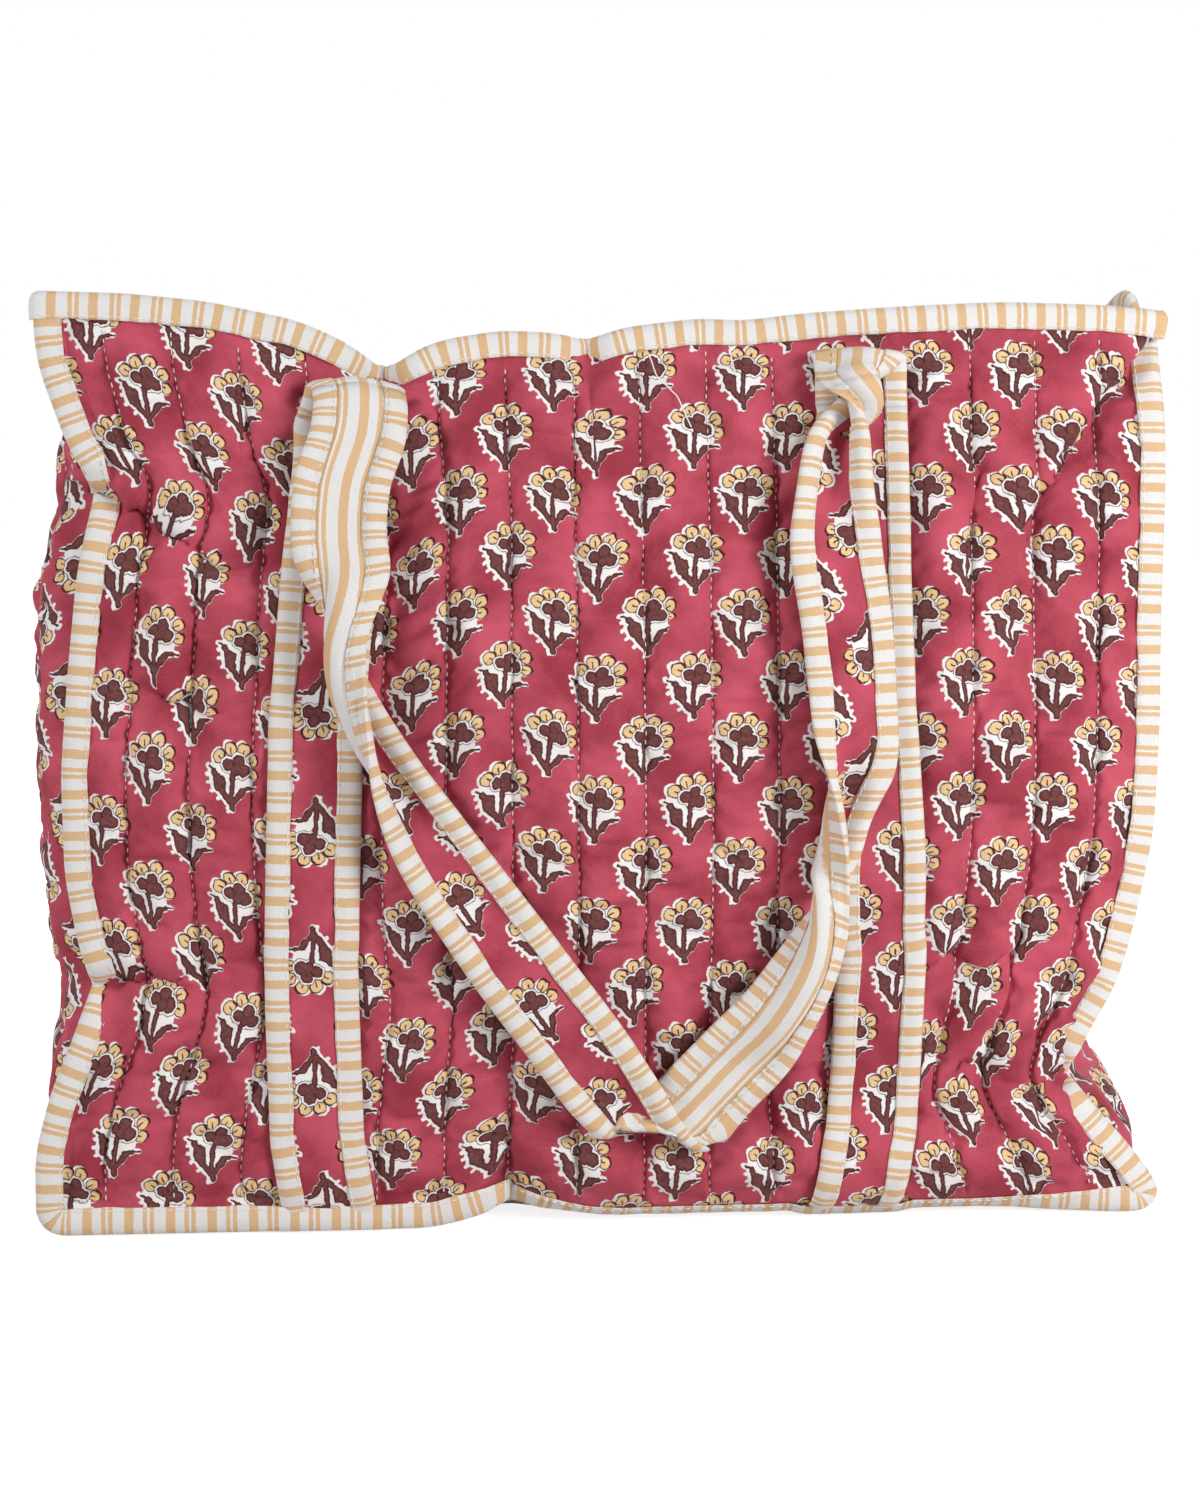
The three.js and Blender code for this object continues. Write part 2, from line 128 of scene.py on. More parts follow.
# How the cloth has slumped, as (place, depth): how far an edge is drawn in. Sides are measured up from
# the foot, and the foot and mouth from the panel's middle. A tuck is how many degrees the foot is turned
# under, and a swell is how far the gusset stands out.
FRONT_LEFT = [
    (0, 0), (31, 0), (54, 6), (78, 16), (99, 23), (113, 18), (141, 13), (180, 12), (219, 15), (258, 19),
    (293, 26), (309, 16), (340, 5), (358, 3), (368, 4),
]
FRONT_RIGHT = [
    (0, 2), (9, 2), (25, 14), (42, 29), (55, 39), (72, 33), (92, 21), (110, 15), (127, 11), (155, 5),
    (184, 3), (208, 2), (240, 2), (300, 0), (368, 0),
]
FRONT_MOUTH = [
    (-226, 0), (-190, 1), (-159, 4), (-124, 11), (-105, 19), (-94, 27), (-87, 32), (-79, 25), (-66, 19),
    (-41, 15), (-18, 16), (-6, 19), (6, 14), (38, 10), (55, 11), (79, 8), (119, 5), (160, 3), (200, 4),
    (214, 5), (226, 6),
]
FRONT_FOOT = [(-226, 0), (-75, 0), (-56, 4), (-42, 10), (-28, 5), (-10, 1), (0, 0), (226, 0)]
FRONT_TUCK = [(-226, 0), (-50, 0), (-34, 28), (-15, 55), (165, 55), (200, 28), (226, 0)]
BACK_LEFT = [(0, 0), (60, 6), (170, 14), (280, 12), (368, 6)]
BACK_RIGHT = [(0, 0), (60, 8), (170, 17), (280, 20), (368, 16)]
BACK_MOUTH = [
    (-226, 8), (-160, 7), (-80, 12), (-38, 16), (6, 24), (41, 24), (73, 30), (88, 34), (101, 31), (150, 14),
    (226, 7),
]
STRAIGHT = [(-226, 0), (226, 0)]
GUSSET_LEFT_SWELL = [
    (0, 5), (40, 6), (75, 12), (110, 17), (190, 20), (255, 24), (300, 17), (330, 2), (368, -12),
]
GUSSET_RIGHT_SWELL = [
    (0, 5), (25, 11), (42, 13), (54, 7), (68, -4), (90, -3), (112, 4), (135, 11), (200, 13), (270, 4),
    (320, -3), (368, -6),
]

# A pull at an edge fades to the panel's middle by a power, and a crease loses a share of its depth along its
# line. Cloth that is drawn in by so much is fully gathered.
LEFT_PULL_FADE = 1.5
RIGHT_PULL_FADE = 2
FULLY_GATHERED = 20
CREASE_FADE = 0.85

# A tucked foot swells above the tuck and lets the cloth sag, by so much for each degree.
TUCK_SWELL = 0.065
TUCK_SWELL_UP = 24
TUCK_SWELL_SPREAD = 14
TUCK_SAG = 0.03
TUCK_SAG_FADE = (30, 120)
TUCK_EASE = 3

# The left gusset is full below the mouth. The right one curls up at the mouth, with an ear near the front.
LEFT_FULL_BELOW = (320, 280)
CURL_FROM = 325
MOUTH_CURL = 3
EAR_HEIGHT = 7
EAR_PLACE = 0.14
EAR_SPREAD = 0.16
EAR_START = 0.08


def smoothstep(low, high, value):
    t = np.clip((value - low) / (high - low), 0, 1)
    return t * t * (3 - 2 * t)


def mix(a, b, t):
    return a + (b - a) * t


def unit(vectors):
    return vectors / np.maximum(np.linalg.norm(vectors, axis=-1, keepdims=True), 1e-9)


def drawn_in(edge, at):
    """How far an edge is drawn in at each place, with its kinks eased."""
    places, depths = np.array(edge, float).T
    return sum(np.interp(at + ease, places, depths) for ease in (-6, -2, 2, 6)) / 4


def wander(at, span, seed):
    """A smooth random line through zero, of about one up and down per span."""
    rng = np.random.default_rng(seed)
    total = 0
    for share in (1.0, 0.62, 0.37, 0.23):
        start = rng.uniform(0, 2 * math.pi)
        total = total + math.sqrt(share) * np.sin(at * 2 * math.pi / (span * share) + start)
    return total / 2.2


def run_along(points):
    """How far along a line each of its points is."""
    steps = np.linalg.norm(np.diff(points, axis=0), axis=1)
    return np.concatenate([[0], np.cumsum(steps)])


class Panel:
    """The inner face of the front or back lining. The back is the same cut turned half round."""

    def __init__(self, turn, left, right, mouth, foot, tuck, creases=()):
        self.turn = turn
        self.left = left
        self.right = right
        self.mouth = mouth
        self.foot = foot
        self.tuck = tuck
        self.creases = creases

    def point(self, across, up):
        across, up = np.broadcast_arrays(np.asarray(across, float), np.asarray(up, float))
        height = up / PANEL_HEIGHT
        under_corner = np.clip(CORNER_RADIUS - up, 0, CORNER_RADIUS)
        corner = CORNER_RADIUS - np.sqrt(CORNER_RADIUS**2 - under_corner**2)
        from_left, from_right = self.pulls(across, up)
        pull = from_left - from_right
        foot = FOOT_CLEARANCE + drawn_in(self.foot, across)
        top = FOOT_CLEARANCE + PANEL_HEIGHT - drawn_in(self.mouth, across)
        swell = BELLY * np.sin(np.pi * height) * np.cos(np.pi * across / PANEL_WIDTH)
        for line, depth, left_width, right_width in self.creases:
            swell = swell - depth * crease_shape(across, up, line, left_width, right_width)
        tuck = drawn_in(self.tuck, across)
        under = (FOOT_STRIP - up + np.hypot(FOOT_STRIP - up, TUCK_EASE)) / 2
        bulge = TUCK_SWELL * tuck * np.exp(-(((up - TUCK_SWELL_UP) / TUCK_SWELL_SPREAD) ** 2))
        swell = swell + bulge - under * np.sin(np.radians(tuck))
        sag = TUCK_SAG * tuck * (1 - smoothstep(*TUCK_SAG_FADE, up))
        sag = sag - under * (1 - np.cos(np.radians(tuck)))
        x = across + pull - corner * across / HALF_WIDTH
        y = -mix(BASE_DEPTH, MOUTH_DEPTH, height) / 2 - swell
        return np.stack([self.turn * x, self.turn * y, mix(foot, top, height) - sag], -1)

    def pulls(self, across, up):
        """How far each place is drawn in from the left edge, and from the right one."""
        near_left = np.maximum(0, -across / HALF_WIDTH) ** LEFT_PULL_FADE
        near_right = np.maximum(0, across / HALF_WIDTH) ** RIGHT_PULL_FADE
        return drawn_in(self.left, up) * near_left, drawn_in(self.right, up) * near_right

    def gathered(self, across, up):
        """How far the cloth is bunched up at each place, where an edge is drawn in."""
        from_left, from_right = self.pulls(across, up)
        return np.minimum(1, (from_left + from_right) / FULLY_GATHERED)

    def normal(self, across, up):
        step = 0.5
        a = np.clip(across, -HALF_WIDTH + step, HALF_WIDTH - step)
        u = np.clip(up, step, PANEL_HEIGHT - step)
        sideways = self.point(a + step, u) - self.point(a - step, u)
        upwards = self.point(a, u + step) - self.point(a, u - step)
        return unit(np.cross(sideways, upwards))

    def above(self, across, up, height):
        return self.point(across, up) + self.normal(across, up) * np.asarray(height)[..., None]

    def place_of(self, x, z):
        """Across and up of the panel's point at x and z."""
        across, up = self.turn * np.asarray(x, float), np.asarray(z, float) - FOOT_CLEARANCE
        for _ in range(12):
            there = self.point(across, up)
            across = across + self.turn * (x - there[..., 0])
            up = up + z - there[..., 2]
        return across, up


def crease_shape(across, up, line, left_width, right_width):
    """A crease's depth, from 1 at the start of its line: it fades along the line and to either side of it."""
    points = np.array(line, float)
    lengths = np.linalg.norm(np.diff(points, axis=0), axis=1)
    passed = 0
    deepest = np.zeros(np.shape(across))
    for (a0, u0), (a1, u1), length in zip(points[:-1], points[1:], lengths):
        share = np.clip(((across - a0) * (a1 - a0) + (up - u0) * (u1 - u0)) / length**2, 0, 1)
        aside = across - a0 - share * (a1 - a0)
        above = up - u0 - share * (u1 - u0)
        away = np.hypot(aside, above)
        on_left = ((a1 - a0) * above - (u1 - u0) * aside) / np.maximum(away * length, 1e-6)
        width = mix(right_width, left_width, (on_left + 1) / 2)
        fade = 1 - CREASE_FADE * (passed + share * length) / lengths.sum()
        deepest = np.maximum(deepest, fade * np.exp(-((away / width) ** 2)))
        passed += length
    return deepest


# Creases that run from the pinches in the front's edges: (line, depth, half width on its left, and on its
# right).
FRONT_CREASES = [
    ([(222, 356), (196, 326), (168, 280), (160, 250), (160, 205)], 11, 15, 4),
    ([(224, 54), (186, 49)], 11, 5, 9),
    ([(140, 110), (157, 102), (172, 111), (190, 114)], 6, 4, 10),
    ([(160, 66), (180, 63)], 4, 3.5, 8),
    ([(-224, 291), (-197, 281), (-164, 264)], 10, 4, 13),
    ([(-222, 98), (-185, 104), (-150, 112)], 8, 4, 13),
    ([(-184, 214), (-164, 206), (-146, 209)], 5, 4, 11),
    ([(-88, 366), (-90, 338)], 8, 6, 10),
    ([(-6, 366), (-3, 322), (0, 300)], 6, 5, 9),
    ([(-42, 2), (-42, 40), (-46, 64)], 8, 6, 9),
    ([(150, 300), (140, 262)], 4, 9, 4),
    ([(26, 248), (18, 234), (10, 222)], 2.5, 3, 9),
]

front = Panel(1, FRONT_LEFT, FRONT_RIGHT, FRONT_MOUTH, FRONT_FOOT, FRONT_TUCK, FRONT_CREASES)
front_uncreased = Panel(1, FRONT_LEFT, FRONT_RIGHT, FRONT_MOUTH, FRONT_FOOT, STRAIGHT)
back = Panel(-1, BACK_LEFT, BACK_RIGHT, BACK_MOUTH, STRAIGHT, STRAIGHT)


class Gusset:
    """The strip between the panels: down the left side, under the base and up the right side."""

    def __init__(self, front, back, mouth_end):
        side = HALF_WIDTH - SEAM_INSET
        bend = SEAM_INSET + GUSSET_CORNER_RADIUS
        base_end = side - GUSSET_CORNER_RADIUS
        rows = np.linspace(mouth_end, bend, round((mouth_end - bend) / ROW) + 1)
        turn = np.linspace(0, math.pi / 2, 11)[1:-1]
        base = np.linspace(-base_end, base_end, 61)
        left = [(-side, up, -1, 0) for up in rows]
        corner = [
            (
                -side + GUSSET_CORNER_RADIUS * (1 - math.cos(t)),
                bend - GUSSET_CORNER_RADIUS * math.sin(t),
                -math.cos(t),
                -math.sin(t),
            )
            for t in turn
        ]
        under = [(across, SEAM_INSET, 0, -1) for across in base]
        right = [(-a, u, -ox, oz) for a, u, ox, oz in reversed(left + corner)]
        line = np.array(left + corner + under + right)
        self.across = line[:, 0]
        self.up = line[:, 1]
        self.direction = np.stack([line[:, 2], np.zeros(len(line)), line[:, 3]], -1)
        self.base_share = -line[:, 3]
        self.front_edge = front.above(self.across, self.up, np.full(len(line), -GUSSET_STANDOFF))
        self.back_edge = back.above(-self.across, self.up, np.full(len(line), -GUSSET_STANDOFF))
        self.front_out = self.along_panel(front.normal(self.across, self.up))
        self.back_out = self.along_panel(back.normal(-self.across, self.up))
        self.run = run_along((self.front_edge + self.back_edge) / 2)

    def along_panel(self, normal):
        lean = np.sum(self.direction * normal, -1, keepdims=True)
        return unit(self.direction - normal * lean)

    def point(self, share):
        """Inner face of the lining at each share of the way from the front seam to the back one."""
        share = np.asarray(share, float)[:, None]
        from_middle = np.abs(2 * share - 1)
        fullness = 2 + 2 * np.where(self.across < 0, smoothstep(*LEFT_FULL_BELOW, self.up), 0)
        side_bow = 1 - from_middle**fullness
        base_bow = 1 - (np.maximum(0, from_middle - BASE_FLAT_SHARE) / (1 - BASE_FLAT_SHARE)) ** 2
        bridge = mix(self.front_edge[None], self.back_edge[None], share[..., None])
        drop = bridge[..., 2] - EDGE_STACK - BASE_CLEARANCE
        left_swell = drawn_in(GUSSET_LEFT_SWELL, self.up)
        right_swell = drawn_in(GUSSET_RIGHT_SWELL, self.up)
        side_swell = np.where(self.across < 0, left_swell, right_swell)
        swell = mix(side_swell * side_bow, drop * base_bow, self.base_share)
        ear = EAR_HEIGHT * np.exp(-(((share - EAR_PLACE) / EAR_SPREAD) ** 2))
        ear = ear * smoothstep(0, EAR_START, share)
        at_mouth = np.where(self.across > 0, smoothstep(CURL_FROM, PANEL_HEIGHT, self.up), 0)
        curl_up = (ear + MOUTH_CURL * side_bow) * at_mouth
        lift = np.stack([np.zeros(swell.shape), np.zeros(swell.shape), curl_up], -1)
        return bridge + self.direction[None] * swell[..., None] + lift

    def outwards(self, share):
        share = np.asarray(share, float)[:, None, None]
        level = 1 - np.abs(2 * share - 1)
        nearest = np.where(share < 0.5, self.front_out[None], self.back_out[None])
        return unit(mix(nearest, self.direction[None], level))


gusset = Gusset(front, back, PANEL_HEIGHT)


# Middle lines of the sewn tails, as (x, z).
LEFT_TAIL = [(-111, 4), (-116, 40), (-117, 90), (-116.5, 134), (-114.5, 200), (-109, 266), (-103, 316)]
RIGHT_TAIL = [(101, 316), (101, 266), (102, 210), (106, 150), (106, 90), (104, 40), (98, 4)]
BACK_LEFT_TAIL = [(108, 4), (108, 100), (107, 200), (107, 316)]
BACK_RIGHT_TAIL = [(-x, z) for x, z in reversed(BACK_LEFT_TAIL)]


# Meshes
def new_piece(name, points, faces, uvs, material, smooth=True):
    """A mesh object at the origin from points and a cloth map in millimetres."""
    mesh = bpy.data.meshes.new(name)
    mesh.from_pydata((np.asarray(points) * MM).tolist(), [], [list(map(int, face)) for face in faces])
    corner = np.empty(len(mesh.loops), int)
    mesh.loops.foreach_get("vertex_index", corner)
    cloth_map = mesh.uv_layers.new(name="cloth")
    cloth_map.data.foreach_set("uv", (np.asarray(uvs) * MM)[corner].astype(np.float32).ravel())
    mesh.polygons.foreach_set("use_smooth", [smooth] * len(mesh.polygons))
    mesh.materials.append(material)
    mesh.validate()
    piece = bpy.data.objects.new(name, mesh)
    bpy.context.collection.objects.link(piece)
    return piece


def grid_faces(columns, rows, first=0, flip=False):
    i, j = np.meshgrid(np.arange(columns - 1), np.arange(rows - 1), indexing="ij")
    a = first + (i * rows + j).ravel()
    quads = np.stack([a, a + rows, a + rows + 1, a + 1], -1)
    return quads[:, ::-1] if flip else quads


def rim_faces(outer, inner, flip):
    """Closes the gap between two edges of a sheet. The inner one has every outer point, or every second."""
    share = (len(outer) - 1) // (len(inner) - 1)
    faces = []
    for k in range(len(inner) - 1):
        ring = [*outer[k * share : (k + 1) * share + 1], inner[k + 1], inner[k]]
        faces.append(ring[::-1] if flip else ring)
    return faces


def closed_sheet(name, outer, inner, outer_map, inner_map, material):
    """A closed piece from the grids of its outer and inner faces, joined round the rim."""
    columns, rows = outer.shape[:2]
    inner_columns, inner_rows = inner.shape[:2]
    count = columns * rows
    out = np.arange(count).reshape(columns, rows)
    into = count + np.arange(inner_columns * inner_rows).reshape(inner_columns, inner_rows)
    faces = list(grid_faces(columns, rows)) + list(grid_faces(inner_columns, inner_rows, count, True))
    faces += rim_faces(out[0], into[0], False)
    faces += rim_faces(out[-1], into[-1], True)
    faces += rim_faces(out[:, 0], into[:, 0], True)
    faces += rim_faces(out[:, -1], into[:, -1], False)
    points = np.concatenate([outer.reshape(-1, 3), inner.reshape(-1, 3)])
    uvs = np.concatenate([outer_map.reshape(-1, 2), inner_map.reshape(-1, 2)])
    return new_piece(name, points, faces, uvs, material)


def finer(grid):
    """Doubles a grid with a cubic curve through its points."""
    for axis in (0, 1):
        rows = np.moveaxis(grid, axis, 0)
        padded = np.concatenate([[2 * rows[0] - rows[1]], rows, [2 * rows[-1] - rows[-2]]])
        between = (9 * (padded[1:-2] + padded[2:-1]) - padded[:-3] - padded[3:]) / 16
        doubled = np.empty((2 * len(rows) - 1, *rows.shape[1:]))
        doubled[0::2] = rows
        doubled[1::2] = between
        grid = np.moveaxis(doubled, 0, axis)
    return grid


def laid_out(stations, outline):
    """Points of outlines of (across, normal) at stations of (origin, across, normal)."""
    origin, across, normal = stations
    return origin[:, None] + across[:, None] * outline[..., 0:1] + normal[:, None] * outline[..., 1:2]


def swept(name, stations, outline, material, across_map, along_map, from_run=0.0, slant=0.0, drift=0.0):
    """Sweeps closed outlines along stations."""
    origin, across, normal = stations
    outline = np.asarray(outline, float)
    if outline.ndim == 2:
        outline = np.broadcast_to(outline, (len(origin), *outline.shape))
    count, size = outline.shape[:2]
    points = laid_out(stations, outline)
    run = from_run + run_along(origin)
    i, k = np.meshgrid(np.arange(count - 1), np.arange(size), indexing="ij")
    a = (i * size + k).ravel()
    b = (i * size + (k + 1) % size).ravel()
    faces = np.stack([a, b, b + size, a + size], -1)
    start = list(range(size))
    ends = [start[::-1], [(count - 1) * size + s for s in start]]
    ahead = np.cross(across[0], normal[0]) @ (origin[1] - origin[0])
    turned = ahead < 0
    faces = list(faces[:, ::-1] if turned else faces) + [e[::-1] if turned else e for e in ends]
    along = along_map * (run[:, None] + np.reshape(slant, (-1, 1)) * outline[..., 0])
    uvs = np.stack([across_map * outline[..., 0] + drift * run[:, None], along], -1)
    return new_piece(name, points.reshape(-1, 3), faces, uvs.reshape(-1, 2), material)


# Quilting
def puffed(name, start, outward, pinned, growth, most_out, most_in):
    """Lets the outer cloth of a quilt swell and pucker between its pinned seams, as a cloth simulation."""
    columns, rows = start.shape[:2]
    mesh = bpy.data.meshes.new(name)
    mesh.from_pydata((start.reshape(-1, 3) * MM).tolist(), [], grid_faces(columns, rows).tolist())
    cloth = bpy.data.objects.new(name, mesh)
    bpy.context.collection.objects.link(cloth)
    held = cloth.vertex_groups.new(name="sewn")
    held.add([int(v) for v in np.flatnonzero(pinned.ravel())], 1.0, "REPLACE")
    swelling = cloth.modifiers.new("swelling", "CLOTH").settings
    swelling.vertex_group_mass = "sewn"
    swelling.quality = 5
    swelling.mass = 0.15
    swelling.tension_stiffness = 12
    swelling.compression_stiffness = 12
    swelling.shear_stiffness = 4
    swelling.bending_stiffness = 0.15
    swelling.air_damping = 4
    swelling.shrink_min = -growth
    swelling.use_pressure = True
    swelling.uniform_pressure_force = WADDING_PUSH
    swelling.effector_weights.gravity = 0
    for step in range(1, SWELLING_STEPS + 1):
        bpy.context.scene.frame_set(step)
    shaped = cloth.evaluated_get(bpy.context.evaluated_depsgraph_get()).to_mesh()
    moved = np.empty(columns * rows * 3)
    shaped.vertices.foreach_get("co", moved)
    moved = moved.reshape(start.shape) / MM
    bpy.data.objects.remove(cloth)
    bpy.data.meshes.remove(mesh)
    bpy.context.scene.frame_set(1)
    shift = np.nan_to_num(moved - start)
    out = np.sum(shift * outward, -1, keepdims=True)
    side = shift - out * outward
    side_length = np.linalg.norm(side, axis=-1, keepdims=True)
    side = side * np.minimum(1, MOST_ASIDE / np.maximum(side_length, 1e-6))
    return start + np.clip(out, -most_in, most_out) * outward + side


def quilt_columns(channels):
    """Shares of the way across a quilt, closest together beside the seams, with the channel of each."""
    shares = np.append((np.arange(channels)[:, None] + CHANNEL_COLUMNS).ravel(), channels)
    return shares / channels, shares % 1, np.floor(shares)


def from_panel_edge(across, up):
    """How far each place is from the panel's nearest edge."""
    return np.minimum(HALF_WIDTH - np.abs(across), np.minimum(up, PANEL_HEIGHT - up))


def panel_quilt(name, panel, tails, seed, material):
    """The printed cloth and wadding of a panel, with a puff in each channel between the quilting rows."""
    share, in_channel, channel = quilt_columns(CHANNELS)
    rows = np.linspace(0, PANEL_HEIGHT, 2 * round(PANEL_HEIGHT / ROW / 2) + 1)
    across, up = np.meshgrid(share * PANEL_WIDTH - HALF_WIDTH, rows, indexing="ij")
    in_channel, channel = in_channel[:, None], channel[:, None]
    from_edge = from_panel_edge(across, up)
    free = smoothstep(BINDING_WIDTH, BINDING_WIDTH + PUFF_EASE, from_edge)
    pressed = sum(tail_cover(panel, tail, across, up) for tail in tails)
    puff = np.sin(np.pi * in_channel) ** 0.5
    uneven = 1 + PUFF_UNEVEN * wander(up + 61 * channel, 70, seed)
    uneven = uneven + PUFF_UNEVEN_FINE * wander(up + 37 * channel, 23, seed + 1)
    crest = mix(CREST_HEIGHT + GATHERED_RISE * panel.gathered(across, up), PRESSED_HEIGHT, pressed)
    height = SEAM_HEIGHT + (crest - SEAM_HEIGHT) * puff * free * mix(uneven, 1, pressed)
    height = np.maximum(height, EDGE_STACK * (1 - smoothstep(BINDING_WIDTH, BINDING_WIDTH + 5, from_edge)))
    outward = panel.normal(across, up)
    rng = np.random.default_rng(seed)
    start = panel.above(across, up, height + rng.normal(0, CLOTH_UNEVEN, across.shape) * free)
    pinned = (in_channel == 0) | (from_edge < BINDING_WIDTH + 1)
    most_out = QUILT_MOST * (1 - pressed)[..., None]
    face = puffed(name + "_swelling", start, outward, pinned, QUILT_GROWTH, most_out, QUILT_MOST)
    outer = finer(face)
    inner = panel.above(across, up, np.full(across.shape, LINING + LAYER_GAP))
    from_left = LEFT_GATHER * smoothstep(*LEFT_GATHER_SPAN, across)
    bunched = from_left - RIGHT_GATHER * smoothstep(*RIGHT_GATHER_SPAN, across)
    skew = np.stack([PANEL_HEIGHT / 2 - up, across], -1) * PRINT_SKEW
    cloth_map = np.stack([across - bunched, up], -1) + skew
    piece = closed_sheet(name, outer, inner, finer(cloth_map), cloth_map, material)
    return piece, outer


def along_tail(middle):
    """Places of a sewn tail's rows, along its middle line."""
    places = np.array(middle, float)
    run = run_along(places)
    at = np.linspace(0, run[-1], round(run[-1] / TAIL_ROW) + 1)
    return np.interp(at, run, places[:, 0]), np.interp(at, run, places[:, 1])


def tail_cover(panel, tail, across, up):
    """1 under a sewn tail and 0 away from it."""
    tail_across, tail_up = panel.place_of(*along_tail(tail))
    order = np.argsort(tail_up)
    middle = np.interp(up, tail_up[order], tail_across[order])
    aside = np.abs(across - middle)
    return (1 - smoothstep(*TAIL_PRESS_FADE, aside)) * smoothstep(*TAIL_PRESS_TOP, up)


def panel_lining(name, panel, seed, material):
    """The striped lining, drawn slightly inwards between the quilting rows."""
    columns = np.linspace(-HALF_WIDTH, HALF_WIDTH, CHANNELS * 4 + 1)
    rows = np.linspace(0, PANEL_HEIGHT, 57)
    across, up = np.meshgrid(columns, rows, indexing="ij")
    in_channel = ((across + HALF_WIDTH) / CHANNEL) % 1
    from_edge = from_panel_edge(across, up)
    free = smoothstep(BINDING_WIDTH + 4, BINDING_WIDTH + 22, from_edge)
    sink = LINING_SINK * np.sin(np.pi * in_channel) * free * (1 + 0.3 * wander(up, 50, seed))
    outer = panel.above(across, up, LINING - sink)
    inner = panel.above(across, up, -sink)
    cloth_map = np.stack([across, up], -1)
    return closed_sheet(name, outer, inner, cloth_map, cloth_map, material)


def gusset_pieces(quilt_material, lining_material):
    """The gusset's printed quilt and its lining. Its print runs one way along the whole strip."""
    share, in_channel, channel = quilt_columns(GUSSET_CHANNELS)
    inner_face = gusset.point(share)
    outward = gusset.outwards(share)
    steps = len(gusset.run)
    ends = np.minimum(gusset.run, gusset.run[-1] - gusset.run)
    free = smoothstep(BINDING_WIDTH, BINDING_WIDTH + PUFF_EASE, ends)
    free = free * (1 - smoothstep(0.2, 0.9, gusset.base_share))
    uneven = 1 + GUSSET_PUFF_UNEVEN * wander(gusset.run[None] + 53 * channel[:, None], 70, 31)
    puff = np.sin(np.pi * in_channel)[:, None] ** 0.6 * free[None] * uneven
    height = EDGE_STACK + (CREST_HEIGHT - EDGE_STACK) * puff
    start = inner_face + outward * height[..., None]
    pinned = (in_channel == 0)[:, None] | (free[None] < 0.3)
    face = puffed("gusset_swelling", start, outward, pinned, GUSSET_GROWTH, GUSSET_MOST, GUSSET_MOST)
    outer = finer(face)
    inner = inner_face + outward * (LINING + LAYER_GAP)
    width = np.broadcast_to((share * BASE_DEPTH)[:, None], (len(share), steps))
    cloth_map = np.stack([width, np.broadcast_to(gusset.run[None], width.shape)], -1)
    quilt = closed_sheet("gusset_quilt", outer, inner, finer(cloth_map), cloth_map, quilt_material)
    coarse_map, inside, out = (grid[::2, ::2] for grid in (cloth_map, inner_face, outward))
    faces = (inside + out * LINING, inside)
    lining = closed_sheet("gusset_lining_sheet", *faces, coarse_map, coarse_map, lining_material)
    return quilt, lining, outer


# Bindings
def edge_stations(origin, normal):
    """Stations along an edge that runs anticlockwise round its panel, so that across points off the edge."""
    along = unit(np.gradient(origin, axis=0))
    return origin, unit(np.cross(along, normal)), normal


def folded_edge(run, seed, low=0.0, high=EDGE_STACK, ease=BINDING_EASE, width=BINDING_WIDTH, lift=0.0):
    """Outlines of a binding folded over an edge, a little uneven along its run."""
    lip = -width + LIP_UNEVEN * wander(run, 46, seed)
    puff = BINDING_PUFF + BINDING_PUFF_UNEVEN * wander(run, 31, seed + 1)
    top = np.full(len(run), high + ease) + lift
    foot = np.full(len(run), low - ease)
    zero = np.zeros(len(run))
    outline = [
        (lip, top - 0.1),
        (lip + 0.1, top + 0.35),
        (lip + 1.0, top + 0.5),
        (lip + 4.5, top + 0.55 + puff),
        (zero - 2.0, top + 0.4 + puff),
        (zero + 0.1, mix(foot, top, 0.88)),
        (zero + BINDING_FOLD, mix(foot, top, 0.5)),
        (zero + 0.1, mix(foot, top, 0.12)),
        (zero - 2.0, foot - 0.4 - puff / 2),
        (lip + 4.5, foot - 0.5 - puff / 2),
        (lip + 0.1, foot - 0.45),
        (lip, foot + 0.1),
        (zero - 0.9, foot + 0.25),
        (zero - 0.4, mix(foot, top, 0.5)),
        (zero - 0.9, top - 0.25),
    ]
    return np.stack([np.stack(pair, -1) for pair in outline[::-1]], 1)


def seam_stations(panel, mouth_end):
    """Down the left edge, round the corner, along the foot and up the right edge."""
    ups = np.linspace(mouth_end, CORNER_RADIUS, round((mouth_end - CORNER_RADIUS) / 3) + 1)
    round_corner = CORNER_RADIUS * (1 - np.sin(np.linspace(0, math.pi / 2, 8)[1:]))
    down = np.concatenate([ups, round_corner])
    foot = np.linspace(-HALF_WIDTH, HALF_WIDTH, EDGE_POINTS)[1:-1]
    side = np.full(len(down), HALF_WIDTH)
    across = np.concatenate([-side, foot, side])
    up = np.concatenate([down, np.zeros(len(foot)), down[::-1]])
    return edge_stations(panel.point(across, up), panel.normal(across, np.maximum(up, 6)))


